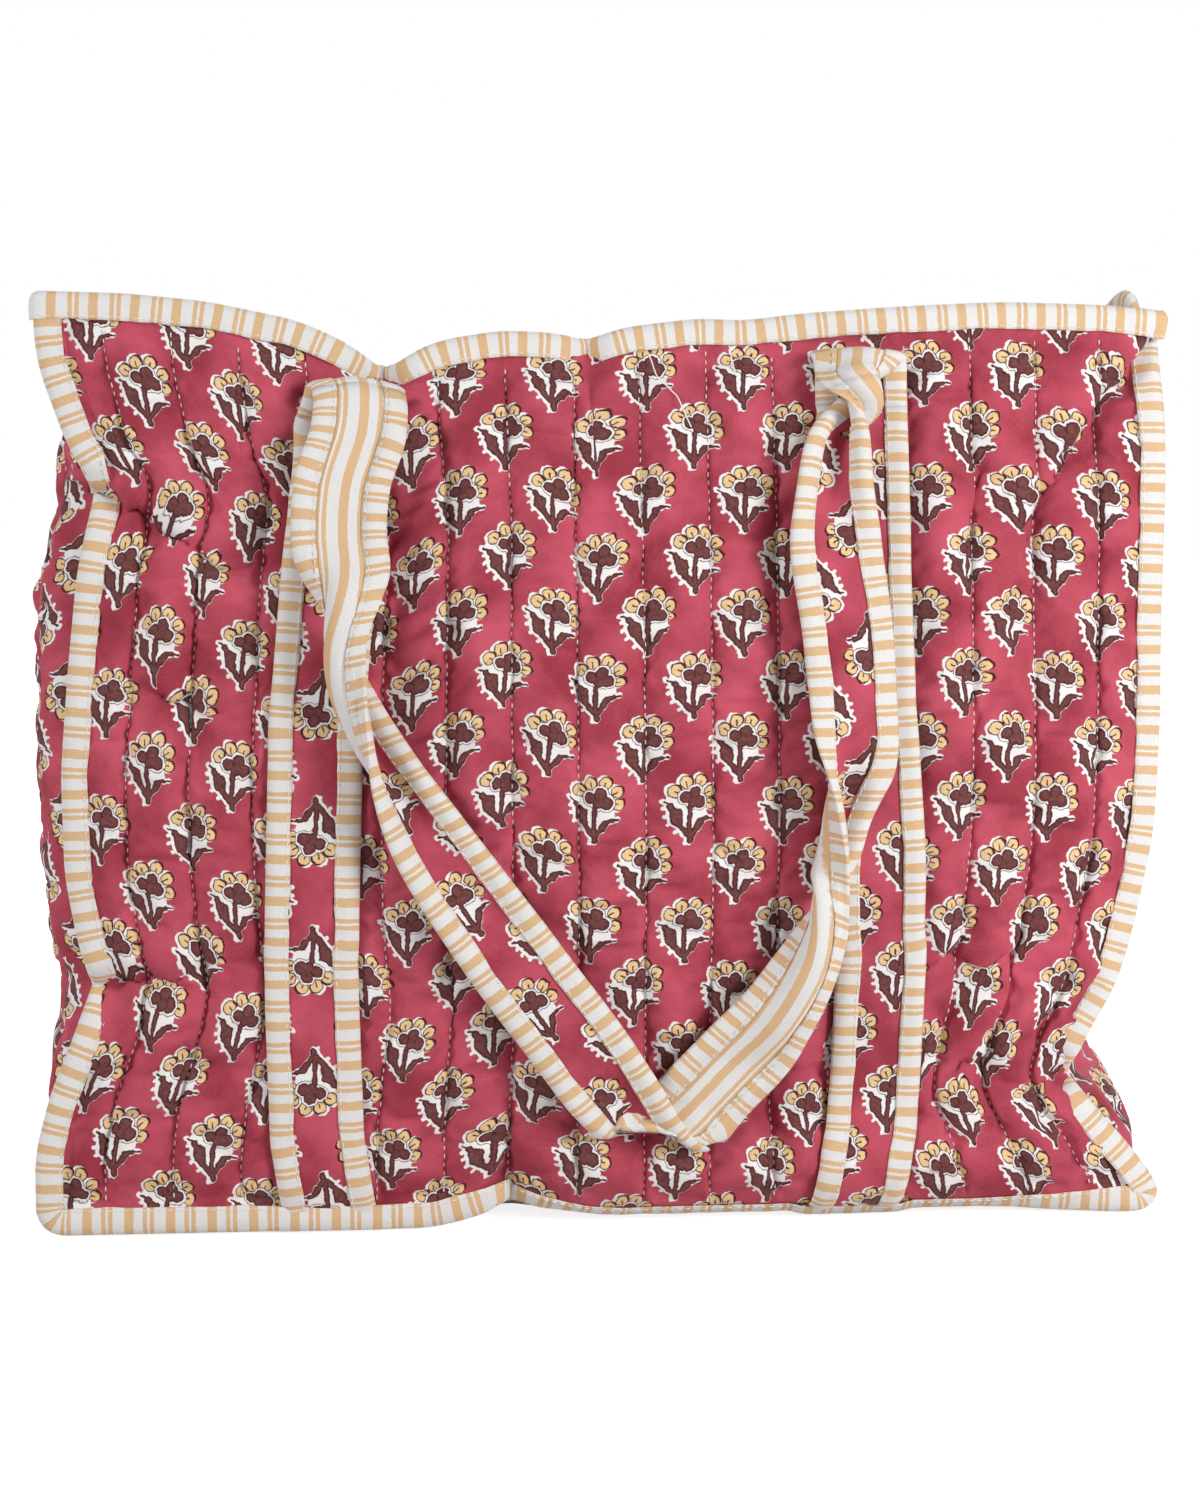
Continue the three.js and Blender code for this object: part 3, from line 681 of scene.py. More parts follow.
def mouth_stations(panel):
    """Along the mouth, and a little way round each corner on to the gusset."""
    reach = HALF_WIDTH - MOUTH_END_INSET
    across = np.linspace(reach, -reach, EDGE_POINTS)
    origin = panel.point(across, PANEL_HEIGHT)
    origin, off, normal = edge_stations(origin, panel.normal(across, PANEL_HEIGHT))
    turn = np.linspace(0, math.pi / 2, 6)[1:, None]
    ends = []
    for end, inside in ((0, 1), (-1, -2)):
        out = unit(origin[end] - origin[inside])
        away = out * np.sin(turn) - normal[end] * (1 - np.cos(turn))
        turned = normal[end] * np.cos(turn) + out * np.sin(turn)
        ends.append((origin[end] + away * BINDING_FOLD, np.repeat(off[end][None], len(turn), 0), turned))
    first = [value[::-1] for value in ends[0]]
    return tuple(np.concatenate(parts) for parts in zip(first, (origin, off, normal), ends[1]))


def gusset_end_stations(end, below, shares):
    origin = gusset.point(shares)[:, end]
    across = unit(origin - gusset.point(shares)[:, below])
    outward = gusset.outwards(shares)[:, end]
    lean = np.sum(outward * across, -1, keepdims=True)
    return origin, across, unit(outward - across * lean)


# Straps
STRAP_HALF = 18.5
FLAT_REACH = 33.5
STRIP_HALF = STRAP_HALF - 1.1
STRAP_CLOTH = 0.8
STRAP_BINDING = 8.6
STRAP_BINDING_EASE = 0.3
STRAP_CUP = 0.9
STRIP_CROWN = 0.35
STRIP_CROWN_HALF = 9
STRAP_THREAD_HEIGHT = 1.72
BOX_THREAD_HEIGHT = 1.5
BOX_ROWS = (1, 10)
STRAP_LIP_INSET = 1.1
STRIP_LIFT = 0.15
STRIP_DRIFT = 0.0095
TAIL_STANDOFF = 1.0
TAIL_SINK = 5.2
TAIL_SINK_FADE = (4, 18)
TAIL_ROW = 9
TAIL_PRESS_FADE = (17, 26)
TAIL_PRESS_TOP = (330, 315)
MOST_CURL = 1.9
LEAST_WIDTH = 0.33
CURL_EASE = 9
MOST_LEAN = 0.75
STATION = 2.5

# The free part of the front strap, edge by edge: (x, z, stand-off) of the edge that is on the left of
# the left tail, then of the other edge. The strap twists three times and has one crease at its lowest point.
FRONT_FOLD_IN = [
    ((-120, 323, 2.5), (-83, 321, 2.5)),
    ((-116, 332, 6), (-80, 330, 6)),
]
FRONT_LOOP = [
    ((-114, 327, 11), (-78, 325, 11)),
    ((-116, 315, 14), (-76, 314, 14)),
    ((-123, 290, 16), (-83, 290, 18)),
    ((-124, 272, 16), (-87, 271, 18)),
    ((-114, 252, 12), (-90, 252, 22)),
    ((-101, 229, 6), (-95, 231, 24)),
    ((-83, 200, 8), (-94, 196, 22)),
    ((-55, 162, 10), (-84, 156, 16)),
    ((-29, 127, 10), (-55, 107, 10)),
    ((2, 85, 11), (-24, 65, 11)),
    ((18, 60, 12), (-14, 52, 12)),
    ((28, 43, 11), (-8, 45, 11)),
    ((33, 36, 8.5), (-4, 42, 8.5)),
    ((38, 37.5, 5.5), (0, 47, 5.5)),
    ((48, 41, 5), (8, 56, 5)),
    ((61, 55, 6), (22, 70, 6)),
    ((72, 75, 8), (46, 91, 8)),
    ((83, 100, 14), (66, 117, 10)),
    ((88, 122, 18), (79, 132, 7)),
    ((88, 140, 19.5), (92, 143, 5)),
    ((84, 169, 20), (100, 165, 7)),
    ((75, 205, 16), (110, 192, 10)),
    ((72, 236, 14), (109, 235, 12)),
    ((70, 267, 14), (103, 268, 14)),
    ((74, 294, 14), (100, 294, 16)),
    ((80, 315, 11), (99, 316, 17)),
    ((91, 326, 5), (93, 323, 17)),
]
FRONT_FOLD_OUT = [
    ((112, 338, 6), (83, 336, 8)),
    ((119, 344, 6), (82, 344, 6)),
    ((119.5, 334, 2), (82.5, 334, 2)),
]

# The back strap hangs plainly, lining outwards, the same on both sides. A row of its loop is how far across
# and how high it is, and the stand-off of its lower edge and its upper one. A row of a fold is across, height
# and stand-off of each edge.
BACK_LOOP_LEFT = [
    (-102, 326, 13, 13),
    (-101, 300, 12, 13),
    (-98, 240, 9, 13),
    (-82, 172, 7, 14),
    (-50, 108, 5, 16),
    (-22, 72, 4, 18),
]
BACK_LOOP_LOWEST = (0, 62, 4, 19)
BACK_FOLD_IN = [(-125, 329, 3, -88, 329, 3), (-122, 339, 8, -86, 339, 8)]


def path_through(points, spacing):
    """A smooth path through rows of points, with the run of each new row and of each given one."""
    middle = (points[:, :3] + points[:, 3:]) / 2
    edges = np.linalg.norm(np.diff(points.reshape(-1, 2, 3), axis=0), axis=-1).mean(axis=1)
    steps = np.maximum(edges, np.linalg.norm(np.diff(middle, axis=0), axis=1))
    knots = np.concatenate([[0], np.cumsum(steps)])
    slopes = np.gradient(points, knots, axis=0)
    at = np.linspace(0, knots[-1], round(knots[-1] / spacing) + 1)
    i = np.clip(np.searchsorted(knots, at, side="right") - 1, 0, len(knots) - 2)
    gap = (knots[i + 1] - knots[i])[:, None]
    t = ((at - knots[i]) / gap[:, 0])[:, None]
    path = (
        points[i] * (1 + 2 * t) * (1 - t) ** 2
        + slopes[i] * gap * t * (1 - t) ** 2
        + points[i + 1] * t * t * (3 - 2 * t)
        + slopes[i + 1] * gap * t * t * (t - 1)
    )
    return path, at, knots


def tail_rows(panel, middle):
    """A sewn tail's two edges, lying on the quilting and sunk lower where it goes under the foot's binding.
    """
    x, z = along_tail(middle)
    reach = panel.turn * (STRAP_HALF if z[-1] > z[0] else -STRAP_HALF)
    left_across, left_up = panel.place_of(x - reach, z)
    right_across, right_up = panel.place_of(x + reach, z)
    low = TAIL_STANDOFF - TAIL_SINK * (1 - smoothstep(*TAIL_SINK_FADE, (left_up + right_up) / 2))
    return list(zip(left_across, left_up, low, right_across, right_up, low))


def front_strap_rows():
    """Rows of the front strap's tails, folds and loop."""

    def edge_rows(pairs):
        rows = []
        for (x0, z0, d0), (x1, z1, d1) in pairs:
            left = front_uncreased.place_of(np.array(x0), np.array(z0))
            right = front_uncreased.place_of(np.array(x1), np.array(z1))
            rows.append((*left, d0, *right, d1))
        return rows

    free = [edge_rows(pairs) for pairs in (FRONT_FOLD_IN, FRONT_LOOP, FRONT_FOLD_OUT)]
    return [tail_rows(front, LEFT_TAIL), *free, tail_rows(front, RIGHT_TAIL)]


def back_strap_rows():
    """Rows of the back strap's tails, folds and loop."""

    def level_rows(rows):
        left_across, left_up, left_high, right_across, right_up, right_high = np.array(rows, float).T
        left = back.place_of(back.turn * left_across, left_up)
        right = back.place_of(back.turn * right_across, right_up)
        return list(zip(*left, left_high, *right, right_high))

    loop_right = [(-across, *rest) for across, *rest in reversed(BACK_LOOP_LEFT)]
    middle = np.array([*BACK_LOOP_LEFT, BACK_LOOP_LOWEST, *loop_right], float)
    along = unit(np.gradient(middle[:, :2], axis=0))
    out = np.stack([along[:, 1], -along[:, 0]], -1) * STRAP_HALF
    loop = [
        (a + o[0], u + o[1], low, a - o[0], u - o[1], high)
        for (a, u, low, high), o in zip(middle, out)
    ]
    fold_out = [(-a, z, high, -b, *rest) for a, z, high, b, *rest in reversed(BACK_FOLD_IN)]
    left_tail, right_tail = tail_rows(back, BACK_LEFT_TAIL), tail_rows(back, BACK_RIGHT_TAIL)
    return [left_tail, level_rows(BACK_FOLD_IN), level_rows(loop), level_rows(fold_out), right_tail]


def strap_stations(panel, hung_before, pieces):
    """Stations of a whole strap, and where its tails, folds and loop begin and end."""
    edges = []
    for number, piece in enumerate(pieces):
        behind = panel if number in (0, len(pieces) - 1) else hung_before
        rows = np.array(piece, float)
        left = behind.above(rows[:, 0], rows[:, 1], CREST_HEIGHT + rows[:, 2])
        right = behind.above(rows[:, 3], rows[:, 4], CREST_HEIGHT + rows[:, 5])
        edges.append(np.concatenate([left, right], 1))
    path, at, knots = path_through(np.concatenate(edges), STATION)
    left, right = path[:, :3], path[:, 3:]
    origin = (left + right) / 2
    along = unit(np.gradient(origin, axis=0))
    across = unit(right - left)
    lean = np.clip(np.sum(across * along, -1), -MOST_LEAN, MOST_LEAN)
    stretch = 1 / np.sqrt(1 - lean**2)
    normal = unit(np.cross(across, along))
    reach = np.linalg.norm(right - left, axis=-1) / stretch
    angles = np.linspace(0, MOST_CURL, 200)
    narrowing = [np.cos(angle * np.sin(np.linspace(0, math.pi, 40))).mean() for angle in angles]
    curl = np.interp(np.clip(reach / FLAT_REACH, LEAST_WIDTH, 1), narrowing[::-1], angles[::-1])
    padded = np.pad(curl, CURL_EASE // 2, mode="edge")
    curl = np.convolve(padded, np.full(CURL_EASE, 1 / CURL_EASE), mode="valid")
    counts = np.cumsum([len(piece) for piece in pieces])
    cuts = [0]
    for count in counts[:-1]:
        cuts.append(int(np.searchsorted(at, (knots[count - 1] + knots[count]) / 2)))
    cuts.append(len(at) - 1)
    return (origin, across * stretch[:, None], normal), curl, lean * stretch, cuts


def curled(outline, curl):
    """Folds outlines lengthways into a soft gutter, so that the edges come closer where the strap twists."""
    flat = np.linspace(-STRAP_HALF, STRAP_HALF, 41)
    step = flat[1] - flat[0]
    steep = curl[:, None] * np.sin(math.pi * flat / STRAP_HALF)[None]
    half_steps = (steep[:, 1:] + steep[:, :-1]) / 2
    zero = np.zeros((len(curl), 1))
    sideways = np.concatenate([zero, np.cumsum(np.cos(half_steps), 1) * step], 1)
    sideways = sideways - sideways[:, -1:] / 2
    depth = np.concatenate([zero, np.cumsum(np.sin(half_steps), 1) * step], 1)
    bent = np.empty(outline.shape)
    for k, (a, b) in enumerate(zip(outline[..., 0], outline[..., 1])):
        lean = np.interp(a, flat, steep[k])
        beyond = a - np.clip(a, -STRAP_HALF, STRAP_HALF)
        bent[k, :, 0] = np.interp(a, flat, sideways[k]) + beyond - b * np.sin(lean)
        bent[k, :, 1] = np.interp(a, flat, depth[k]) + b * np.cos(lean)
    return bent


def strap_cup(run, a, seed):
    """How far the strap's cloth curls off its flat width."""
    curl = STRAP_CUP * wander(run, 120, seed)
    return curl[:, None] * ((a / STRAP_HALF) ** 2 - 0.33)


def strip_outline(run, side, seed):
    """Outline of the printed strip (side 1) or the striped one (side -1) at each station."""
    a = np.linspace(-STRIP_HALF, STRIP_HALF, 9)
    crown = STRIP_CROWN * np.maximum(0, 1 - (a / STRIP_CROWN_HALF) ** 2)
    cup = strap_cup(run, a[None], seed)
    near = np.broadcast_to(side * STRIP_LIFT, cup.shape) + cup
    far = side * (STRIP_LIFT + STRAP_CLOTH + crown)[None] + cup
    there = np.stack([np.broadcast_to(a, cup.shape), near], -1)
    back_again = np.stack([np.broadcast_to(a, cup.shape), far], -1)[:, ::-1]
    outline = np.concatenate([there, back_again], 1)
    return outline if side > 0 else outline[:, ::-1]


def strap_binding_outline(run, side, seed, cup_seed):
    far = STRIP_LIFT + STRAP_CLOTH
    outline = folded_edge(run, seed, -far - 0.02, far + 0.02, STRAP_BINDING_EASE, STRAP_BINDING)
    outline = outline + np.array([STRIP_HALF, 0])
    outline[..., 1] += strap_cup(run, outline[..., 0], cup_seed)
    if side < 0:
        outline = (outline * np.array([-1, 1]))[:, ::-1]
    return outline


# Stitches
def stitch_line(points, normals, length, pitch, lift=0.1, skip=0.0):
    """Places of the stitches along a line: middle, direction and normal of each."""
    run = run_along(points)
    at = np.arange(skip + pitch / 2, run[-1] - pitch / 2, pitch)

    def pick(places, values):
        return np.stack([np.interp(places, run, values[:, k]) for k in range(3)], -1)

    start = pick(at - length / 2, points)
    end = pick(at + length / 2, points)
    normal = unit(pick(at, normals))
    middle = (start + end) / 2 + normal * lift
    return middle, end - start, normal


def stitches(name, lines, material, width=THREAD):
    """All the stitches of one piece as one mesh, each a small thread rounded at its ends."""
    middle, reach, normal = (np.concatenate([line[k] for line in lines]) for k in range(3))
    side = unit(np.cross(reach, normal))
    up = unit(np.cross(side, reach))
    profile = [(-0.5, 0, -0.3), (0.5, 0, -0.3)]
    for share in (-0.34, 0.34):
        profile += [(share, 0.5, 0), (share, 0, 0.7), (share, -0.5, 0), (share, 0, -0.7)]
    profile = np.array(profile)
    points = (
        middle[:, None]
        + reach[:, None] * profile[None, :, 0:1]
        + side[:, None] * profile[None, :, 1:2] * width
        + up[:, None] * profile[None, :, 2:3] * width
    )
    one = [(2, 6, 7, 3), (3, 7, 8, 4), (4, 8, 9, 5), (5, 9, 6, 2)]
    one += [(0, 2, 3), (0, 3, 4), (0, 4, 5), (0, 5, 2), (1, 7, 6), (1, 8, 7), (1, 9, 8), (1, 6, 9)]
    faces = [tuple(10 * k + v for v in face) for k in range(len(middle)) for face in one]
    uvs = np.tile(profile[:, :2] * QUILT_STITCH, (len(middle), 1))
    return new_piece(name, points.reshape(-1, 3), faces, uvs, material)


# Materials
def linear(code):
    """The linear colour of an sRGB hex code."""
    parts = [int(code[k : k + 2], 16) / 255 for k in (1, 3, 5)]
    return (*[p / 12.92 if p <= 0.04045 else ((p + 0.055) / 1.055) ** 2.4 for p in parts], 1.0)


def add(tree, kind, inputs=(), out=0, **settings):
    """Adds a node with its settings and gives one of its outputs, or all of them where out is None.

    Inputs are a list in the node's order, or a dict by place or name. Each is a value, or an output to
    link from.
    """
    made = tree.nodes.new(kind if kind.startswith("NodeGroup") else "ShaderNode" + kind)
    for name, value in settings.items():
        setattr(made, name, value)
    for key, value in inputs.items() if isinstance(inputs, dict) else enumerate(inputs):
        if isinstance(value, bpy.types.NodeSocket):
            tree.links.new(value, made.inputs[key])
        else:
            made.inputs[key].default_value = value
    return made.outputs if out is None else made.outputs[out]


def bare_material(name):
    material = bpy.data.materials.new(name)
    material.use_nodes = True
    material.node_tree.nodes.clear()
    return material, material.node_tree


# Colours
RASPBERRY = "#c05264"
RASPBERRY_DEEP = "#953442"
OCHRE = "#e6c897"
OCHRE_DEEP = "#d8b280"
BROWN = "#744745"
BROWN_DEEP = "#48171b"
RESIST_WHITE = "#e6e3e2"
STRIPE_WHITE = "#dbd9d7"
STRIPE_OCHRE = "#d3ae83"
THREAD_WHITE = "#efece8"
# The thread's grey is painted shade for the grooves of its twist.
THREAD_GROOVE_SHADE = "#dcd6d0"

# The sprig, block-printed in a half-drop repeat. Places are from the middle of a sprig, in millimetres.
REPEAT_ACROSS = 37.7
REPEAT_DOWN = 49.3
PRINT_SKEW = (0.03, 0.05)
PETALS = [(-1.4, 10.6, 2.4), (4.3, 11.0, 2.4), (-5.9, 7.2, 2.5), (8.9, 7.4, 2.3), (9.3, 2.3, 2.2)]
HEART = [(-1.6, 4.9, 2.4), (2.4, 6.7, 2.6), (4.6, 3.2, 2.7), (1.6, 3.2, 2.4)]
STEM = [
    ((0.3, 1.0), (0.0, -8.0), 1.05),
    ((0.0, -8.0), (0.6, -12.2), 1.25),
]
LEAVES = [
    ((-10.0, 3.3), (-7.6, 2.3), 0.45),
    ((-7.4, 1.6), (-5.8, -0.6), 1.35),
    ((-5.6, -1.0), (-5.0, -3.8), 2.15),
    ((-3.7, -0.7), (-3.5, -5.2), 1.25),
    ((-4.6, -5.0), (-0.6, -9.6), 1.3),
    ((9.8, -3.6), (7.2, -3.5), 0.45),
    ((7.2, -3.7), (4.6, -4.2), 0.95),
    ((4.4, -4.8), (3.2, -6.8), 1.5),
    ((3.0, -7.0), (0.8, -9.8), 1.1),
]
FILLING = [(-1.5, -0.8, 4.6), (3.8, -1.4, 4.0), (0.2, -6.2, 2.8), (-6.2, 3.2, 2.0)]
FLAMES = [
    ((-7.0, 0.4), (-9.4, 0.2)),
    ((-7.0, -2.2), (-9.0, -2.8)),
    ((-6.0, -5.0), (-7.6, -6.0)),
    ((-3.4, -8.0), (-4.8, -9.2)),
    ((-0.2, -12.0), (-0.7, -13.6)),
]
TICKS = [
    ((-1.1, 9.0), (-1.5, 10.8)),
    ((3.6, 9.2), (4.4, 11.0)),
    ((-4.1, 6.4), (-5.8, 7.4)),
    ((7.2, 6.4), (8.8, 7.4)),
    ((7.6, 2.6), (9.3, 2.4)),
]
FLAME_HALF = 0.05
TICK_HALF = 0.3

# How far a print of the block lands off and how rough its cut edges are, each with half taken back so that
# it goes either way. Then how far the resist white and the petals' dark line are off the inks.
PRINT_OFF = (1.6, 1.6, 0)
PRINT_OFF_BACK = (-0.8, -0.8, 0)
CUT_ROUGH = (1.7, 1.7, 0)
CUT_ROUGH_BACK = (-0.85, -0.85, 0)
RESIST_OFF = (0.6, -0.2, 0)
LINE_OFF = (-0.5, -0.4, 0)
INK_SOFT = 0.15

# The weave's threads are 0.7 mm apart, about twice as coarse as real, so that they show.
WEAVE_SCALE = 0.45
WEAVE_DEPTH = 0.0002

# Stripes of the yarn-dyed cotton, from the start of a repeat.
STRIPE_REPEAT = 16.3
OCHRE_STRIPES = [(0.0, 3.7), (7.3, 9.0), (10.0, 11.7)]
STRIPE_SOFT = 0.12 / STRIPE_REPEAT


def sprig_group():
    """Distances, in millimetres, from a point to the sprig's petals, heart, ticks, stem and leaves."""
    tree = bpy.data.node_groups.new("block-printed sprig", "ShaderNodeTree")
    put = partial(add, tree)
    tree.interface.new_socket("Place", in_out="INPUT", socket_type="NodeSocketVector")
    for name in ("Petals", "Lines", "Heart", "Stem", "Ticks", "Filling"):
        tree.interface.new_socket(name, in_out="OUTPUT", socket_type="NodeSocketFloat")
    place = put("NodeGroupInput", out="Place")

    def nearest(distances):
        found = distances[0]
        for other in distances[1:]:
            found = put("Math", [found, other], operation="MINIMUM")
        return found

    def blob(x, y, radius):
        away = put("VectorMath", [place, (x, y, 0)], "Value", operation="DISTANCE")
        return put("Math", [away, radius], operation="SUBTRACT")

    def stroke(start, end, half):
        run = (end[0] - start[0], end[1] - start[1], 0)
        square = run[0] ** 2 + run[1] ** 2
        from_start = put("VectorMath", [place, (*start, 0)], operation="SUBTRACT")
        along = put("VectorMath", [from_start, run], "Value", operation="DOT_PRODUCT")
        share = put("Math", [along, 1 / square], operation="MULTIPLY", use_clamp=True)
        foot = put("VectorMath", {0: run, "Scale": share}, operation="SCALE")
        away = put("VectorMath", [from_start, foot], "Value", operation="DISTANCE")
        return put("Math", [away, half], operation="SUBTRACT")

    petals = [blob(*petal) for petal in PETALS]
    flames = [stroke(*flame, FLAME_HALF) for flame in FLAMES]
    found = {
        "Petals": nearest(petals),
        "Lines": nearest([put("Math", [petal], operation="ABSOLUTE") for petal in petals]),
        "Heart": nearest([blob(*lobe) for lobe in HEART]),
        "Stem": nearest([stroke(*one) for one in STEM + LEAVES]),
        "Filling": nearest([blob(*one) for one in FILLING] + flames),
        "Ticks": nearest([stroke(*tick, TICK_HALF) for tick in TICKS]),
    }
    put("NodeGroupOutput", found, None)
    return tree


SPRIG = sprig_group()


def cloth_in_mm(tree):
    """The cloth's own flat map, in millimetres."""
    cloth = add(tree, "UVMap", uv_map="cloth")
    return add(tree, "VectorMath", {0: cloth, "Scale": 1 / MM}, operation="SCALE")


def plain_weave(tree, flat, strength):
    """Crossed threads, a little raised."""
    waves = {"Vector": flat, "Scale": WEAVE_SCALE, "Distortion": 0.6}
    warp, weft = (add(tree, "TexWave", waves, "Fac", bands_direction=way) for way in "XY")
    crossed = add(tree, "Math", [warp, weft], operation="MULTIPLY")
    return add(tree, "Bump", {"Strength": strength, "Distance": WEAVE_DEPTH, "Height": crossed})


def printed_cotton(name, shift):
    """Matt printed cotton: raspberry ground with sprigs whose colours don't quite meet their outlines."""
    material, tree = bare_material(name)
    put = partial(add, tree)
    flat = cloth_in_mm(tree)
    placed = put("VectorMath", [flat, (*shift, 0)], operation="SUBTRACT")

    # Every second column of sprigs is dropped by half a repeat, so the nearer of two sprigs is drawn.
    across, down = REPEAT_ACROSS / 2, REPEAT_DOWN / 2
    high, low = (across, down, 1), (-across, -down, -1)
    first = put("VectorMath", [placed, high, low], operation="WRAP")
    dropped = put("VectorMath", [placed, (across, down, 0)], operation="SUBTRACT")
    second = put("VectorMath", [dropped, high, low], operation="WRAP")
    first_away = put("VectorMath", [first], "Value", operation="LENGTH")
    second_away = put("VectorMath", [second], "Value", operation="LENGTH")
    nearer = put("Math", [second_away, first_away], operation="LESS_THAN")
    sprig = put("Mix", {0: nearer, 4: first, 5: second}, 1, data_type="VECTOR")

    # Each print of the block lands a little off, and its edges are cut by hand.
    centre = put("VectorMath", [placed, sprig], operation="SUBTRACT")
    snapped = put("VectorMath", [centre, (1, 1, 1)], operation="SNAP")
    luck = put("TexWhiteNoise", [snapped], "Color", noise_dimensions="3D")
    off = put("VectorMath", [luck, PRINT_OFF, PRINT_OFF_BACK], operation="MULTIPLY_ADD")
    landed = put("VectorMath", [sprig, off], operation="ADD")
    rough = put("TexNoise", {"Vector": flat, "Scale": 0.42, "Detail": 2.0, "Roughness": 0.6}, "Color")
    cut = put("VectorMath", [rough, CUT_ROUGH, CUT_ROUGH_BACK], operation="MULTIPLY_ADD")
    drawn = put("VectorMath", [landed, cut], operation="ADD")
    white_place = put("VectorMath", [drawn, RESIST_OFF], operation="ADD")
    line_place = put("VectorMath", [drawn, LINE_OFF], operation="ADD")
    ink, resist, line = (
        put("Group", {"Place": place}, None, node_tree=SPRIG) for place in (drawn, white_place, line_place)
    )
    resist_flower = put("Math", [resist["Petals"], resist["Heart"]], operation="MINIMUM")
    resist_stem = put("Math", [resist["Stem"], resist["Filling"]], operation="MINIMUM")
    resist_all = put("Math", [resist_flower, resist_stem], operation="MINIMUM")

    # The dye is uneven in clouds and slubs, and the inks in blotches. Brown pools inside its shapes. A
    # noise's scale is one over the size of its spots in millimetres.
    blotch = put("TexNoise", {"Vector": flat, "Scale": 0.55, "Detail": 3.0, "Roughness": 0.65})
    cloud = put("TexNoise", {"Vector": flat, "Scale": 0.03, "Detail": 3.0})
    blotchy = put("MapRange", [blotch, 0.35, 0.7])
    cloudy = put("MapRange", [cloud, 0.35, 0.65])
    slubs = put("VectorMath", [flat, (0.5, 1.6, 1)], operation="MULTIPLY")
    grain = put("TexNoise", {"Vector": slubs, "Scale": 1.1, "Detail": 2.0, "Roughness": 0.7})
    worn = put("Mix", {0: 0.45, 2: cloudy, 3: grain})
    dyed = put("MapRange", [worn, 0.25, 0.75])
    inked = put("Math", [ink["Stem"], ink["Heart"]], operation="MINIMUM")
    pooled = put("MapRange", [inked, -1.1, -0.3])
    thin = put("Math", [blotchy, 0.7], operation="MULTIPLY")
    thick = put("Math", [thin, pooled], operation="MAXIMUM")
    colour, ochre, brown = (
        put("Mix", {0: share, 6: linear(pale), 7: linear(deep)}, 2, data_type="RGBA")
        for share, pale, deep in (
            (dyed, RASPBERRY, RASPBERRY_DEEP),
            (blotchy, OCHRE, OCHRE_DEEP),
            (thick, BROWN, BROWN_DEEP),
        )
    )

    # From the cloth up: resist white, the dark line of the petals, petals, white round the heart, brown.
    layers = [
        (resist_all, 0.7, linear(RESIST_WHITE)),
        (line["Petals"], 0.1, linear(BROWN_DEEP)),
        (ink["Petals"], 0.0, ochre),
        (ink["Lines"], 0.22, linear(BROWN_DEEP)),
        (ink["Ticks"], 0.0, linear(BROWN_DEEP)),
        (ink["Heart"], 0.95, linear(BROWN_DEEP)),
        (ink["Heart"], 0.65, linear(RESIST_WHITE)),
        (ink["Stem"], 0.0, brown),
        (ink["Heart"], 0.0, brown),
    ]
    for distance, edge, paint in layers:
        mask = put("MapRange", [distance, edge + INK_SOFT, edge - INK_SOFT])
        colour = put("Mix", {0: mask, 6: colour, 7: paint}, 2, data_type="RGBA")
    matt = {"Roughness": 0.75, "Specular IOR Level": 0.15, "Sheen Weight": 0.02}
    bump = plain_weave(tree, flat, 0.25)
    shader = put("BsdfPrincipled", {"Base Color": colour, "Normal": bump, **matt})
    put("OutputMaterial", [shader], None)
    return material


def striped_cotton(name, along):
    """Yarn-dyed cotton, white with ochre stripes: across the length of a binding, or along a lining."""
    material, tree = bare_material(name)
    put = partial(add, tree)
    flat = cloth_in_mm(tree)
    way = put("SeparateXYZ", [flat], "X" if along else "Y")
    uneven = put("TexNoise", {"Vector": flat, "Scale": 0.5, "Detail": 2.0})
    place = put("Math", [uneven, 0.7, way], operation="MULTIPLY_ADD")
    turn = put("Math", [place, 1 / STRIPE_REPEAT], operation="MULTIPLY")
    share = put("Math", [turn], operation="FRACT")
    stripes = put("ValToRGB", [share])
    stops = [(0.0, STRIPE_OCHRE)]
    for start, end in OCHRE_STRIPES:
        begins, ends = start / STRIPE_REPEAT, end / STRIPE_REPEAT
        if start > 0:
            stops += [(begins - STRIPE_SOFT, STRIPE_WHITE), (begins + STRIPE_SOFT, STRIPE_OCHRE)]
        stops += [(ends - STRIPE_SOFT, STRIPE_OCHRE), (ends + STRIPE_SOFT, STRIPE_WHITE)]
    stops += [(1.0, STRIPE_WHITE)]
    ramp = stripes.node.color_ramp
    ramp.interpolation = "LINEAR"
    while len(ramp.elements) < len(stops):
        ramp.elements.new(1.0)
    for element, (position, code) in zip(ramp.elements, stops):
        element.position = position
        element.color = linear(code)
    threads = put("TexNoise", {"Vector": flat, "Scale": 1.6, "Detail": 2.0})
    shade = put("MapRange", [threads, 0.3, 0.7, 0.93, 1.03])
    colour = put("VectorMath", {0: stripes, "Scale": shade}, operation="SCALE")
    soft = {"Roughness": 0.8, "Sheen Weight": 0.1, "Sheen Roughness": 0.5}
    bump = plain_weave(tree, flat, 0.3)
    shader = put("BsdfPrincipled", {"Base Color": colour, "Normal": bump, **soft})
    put("OutputMaterial", [shader], None)
    return material


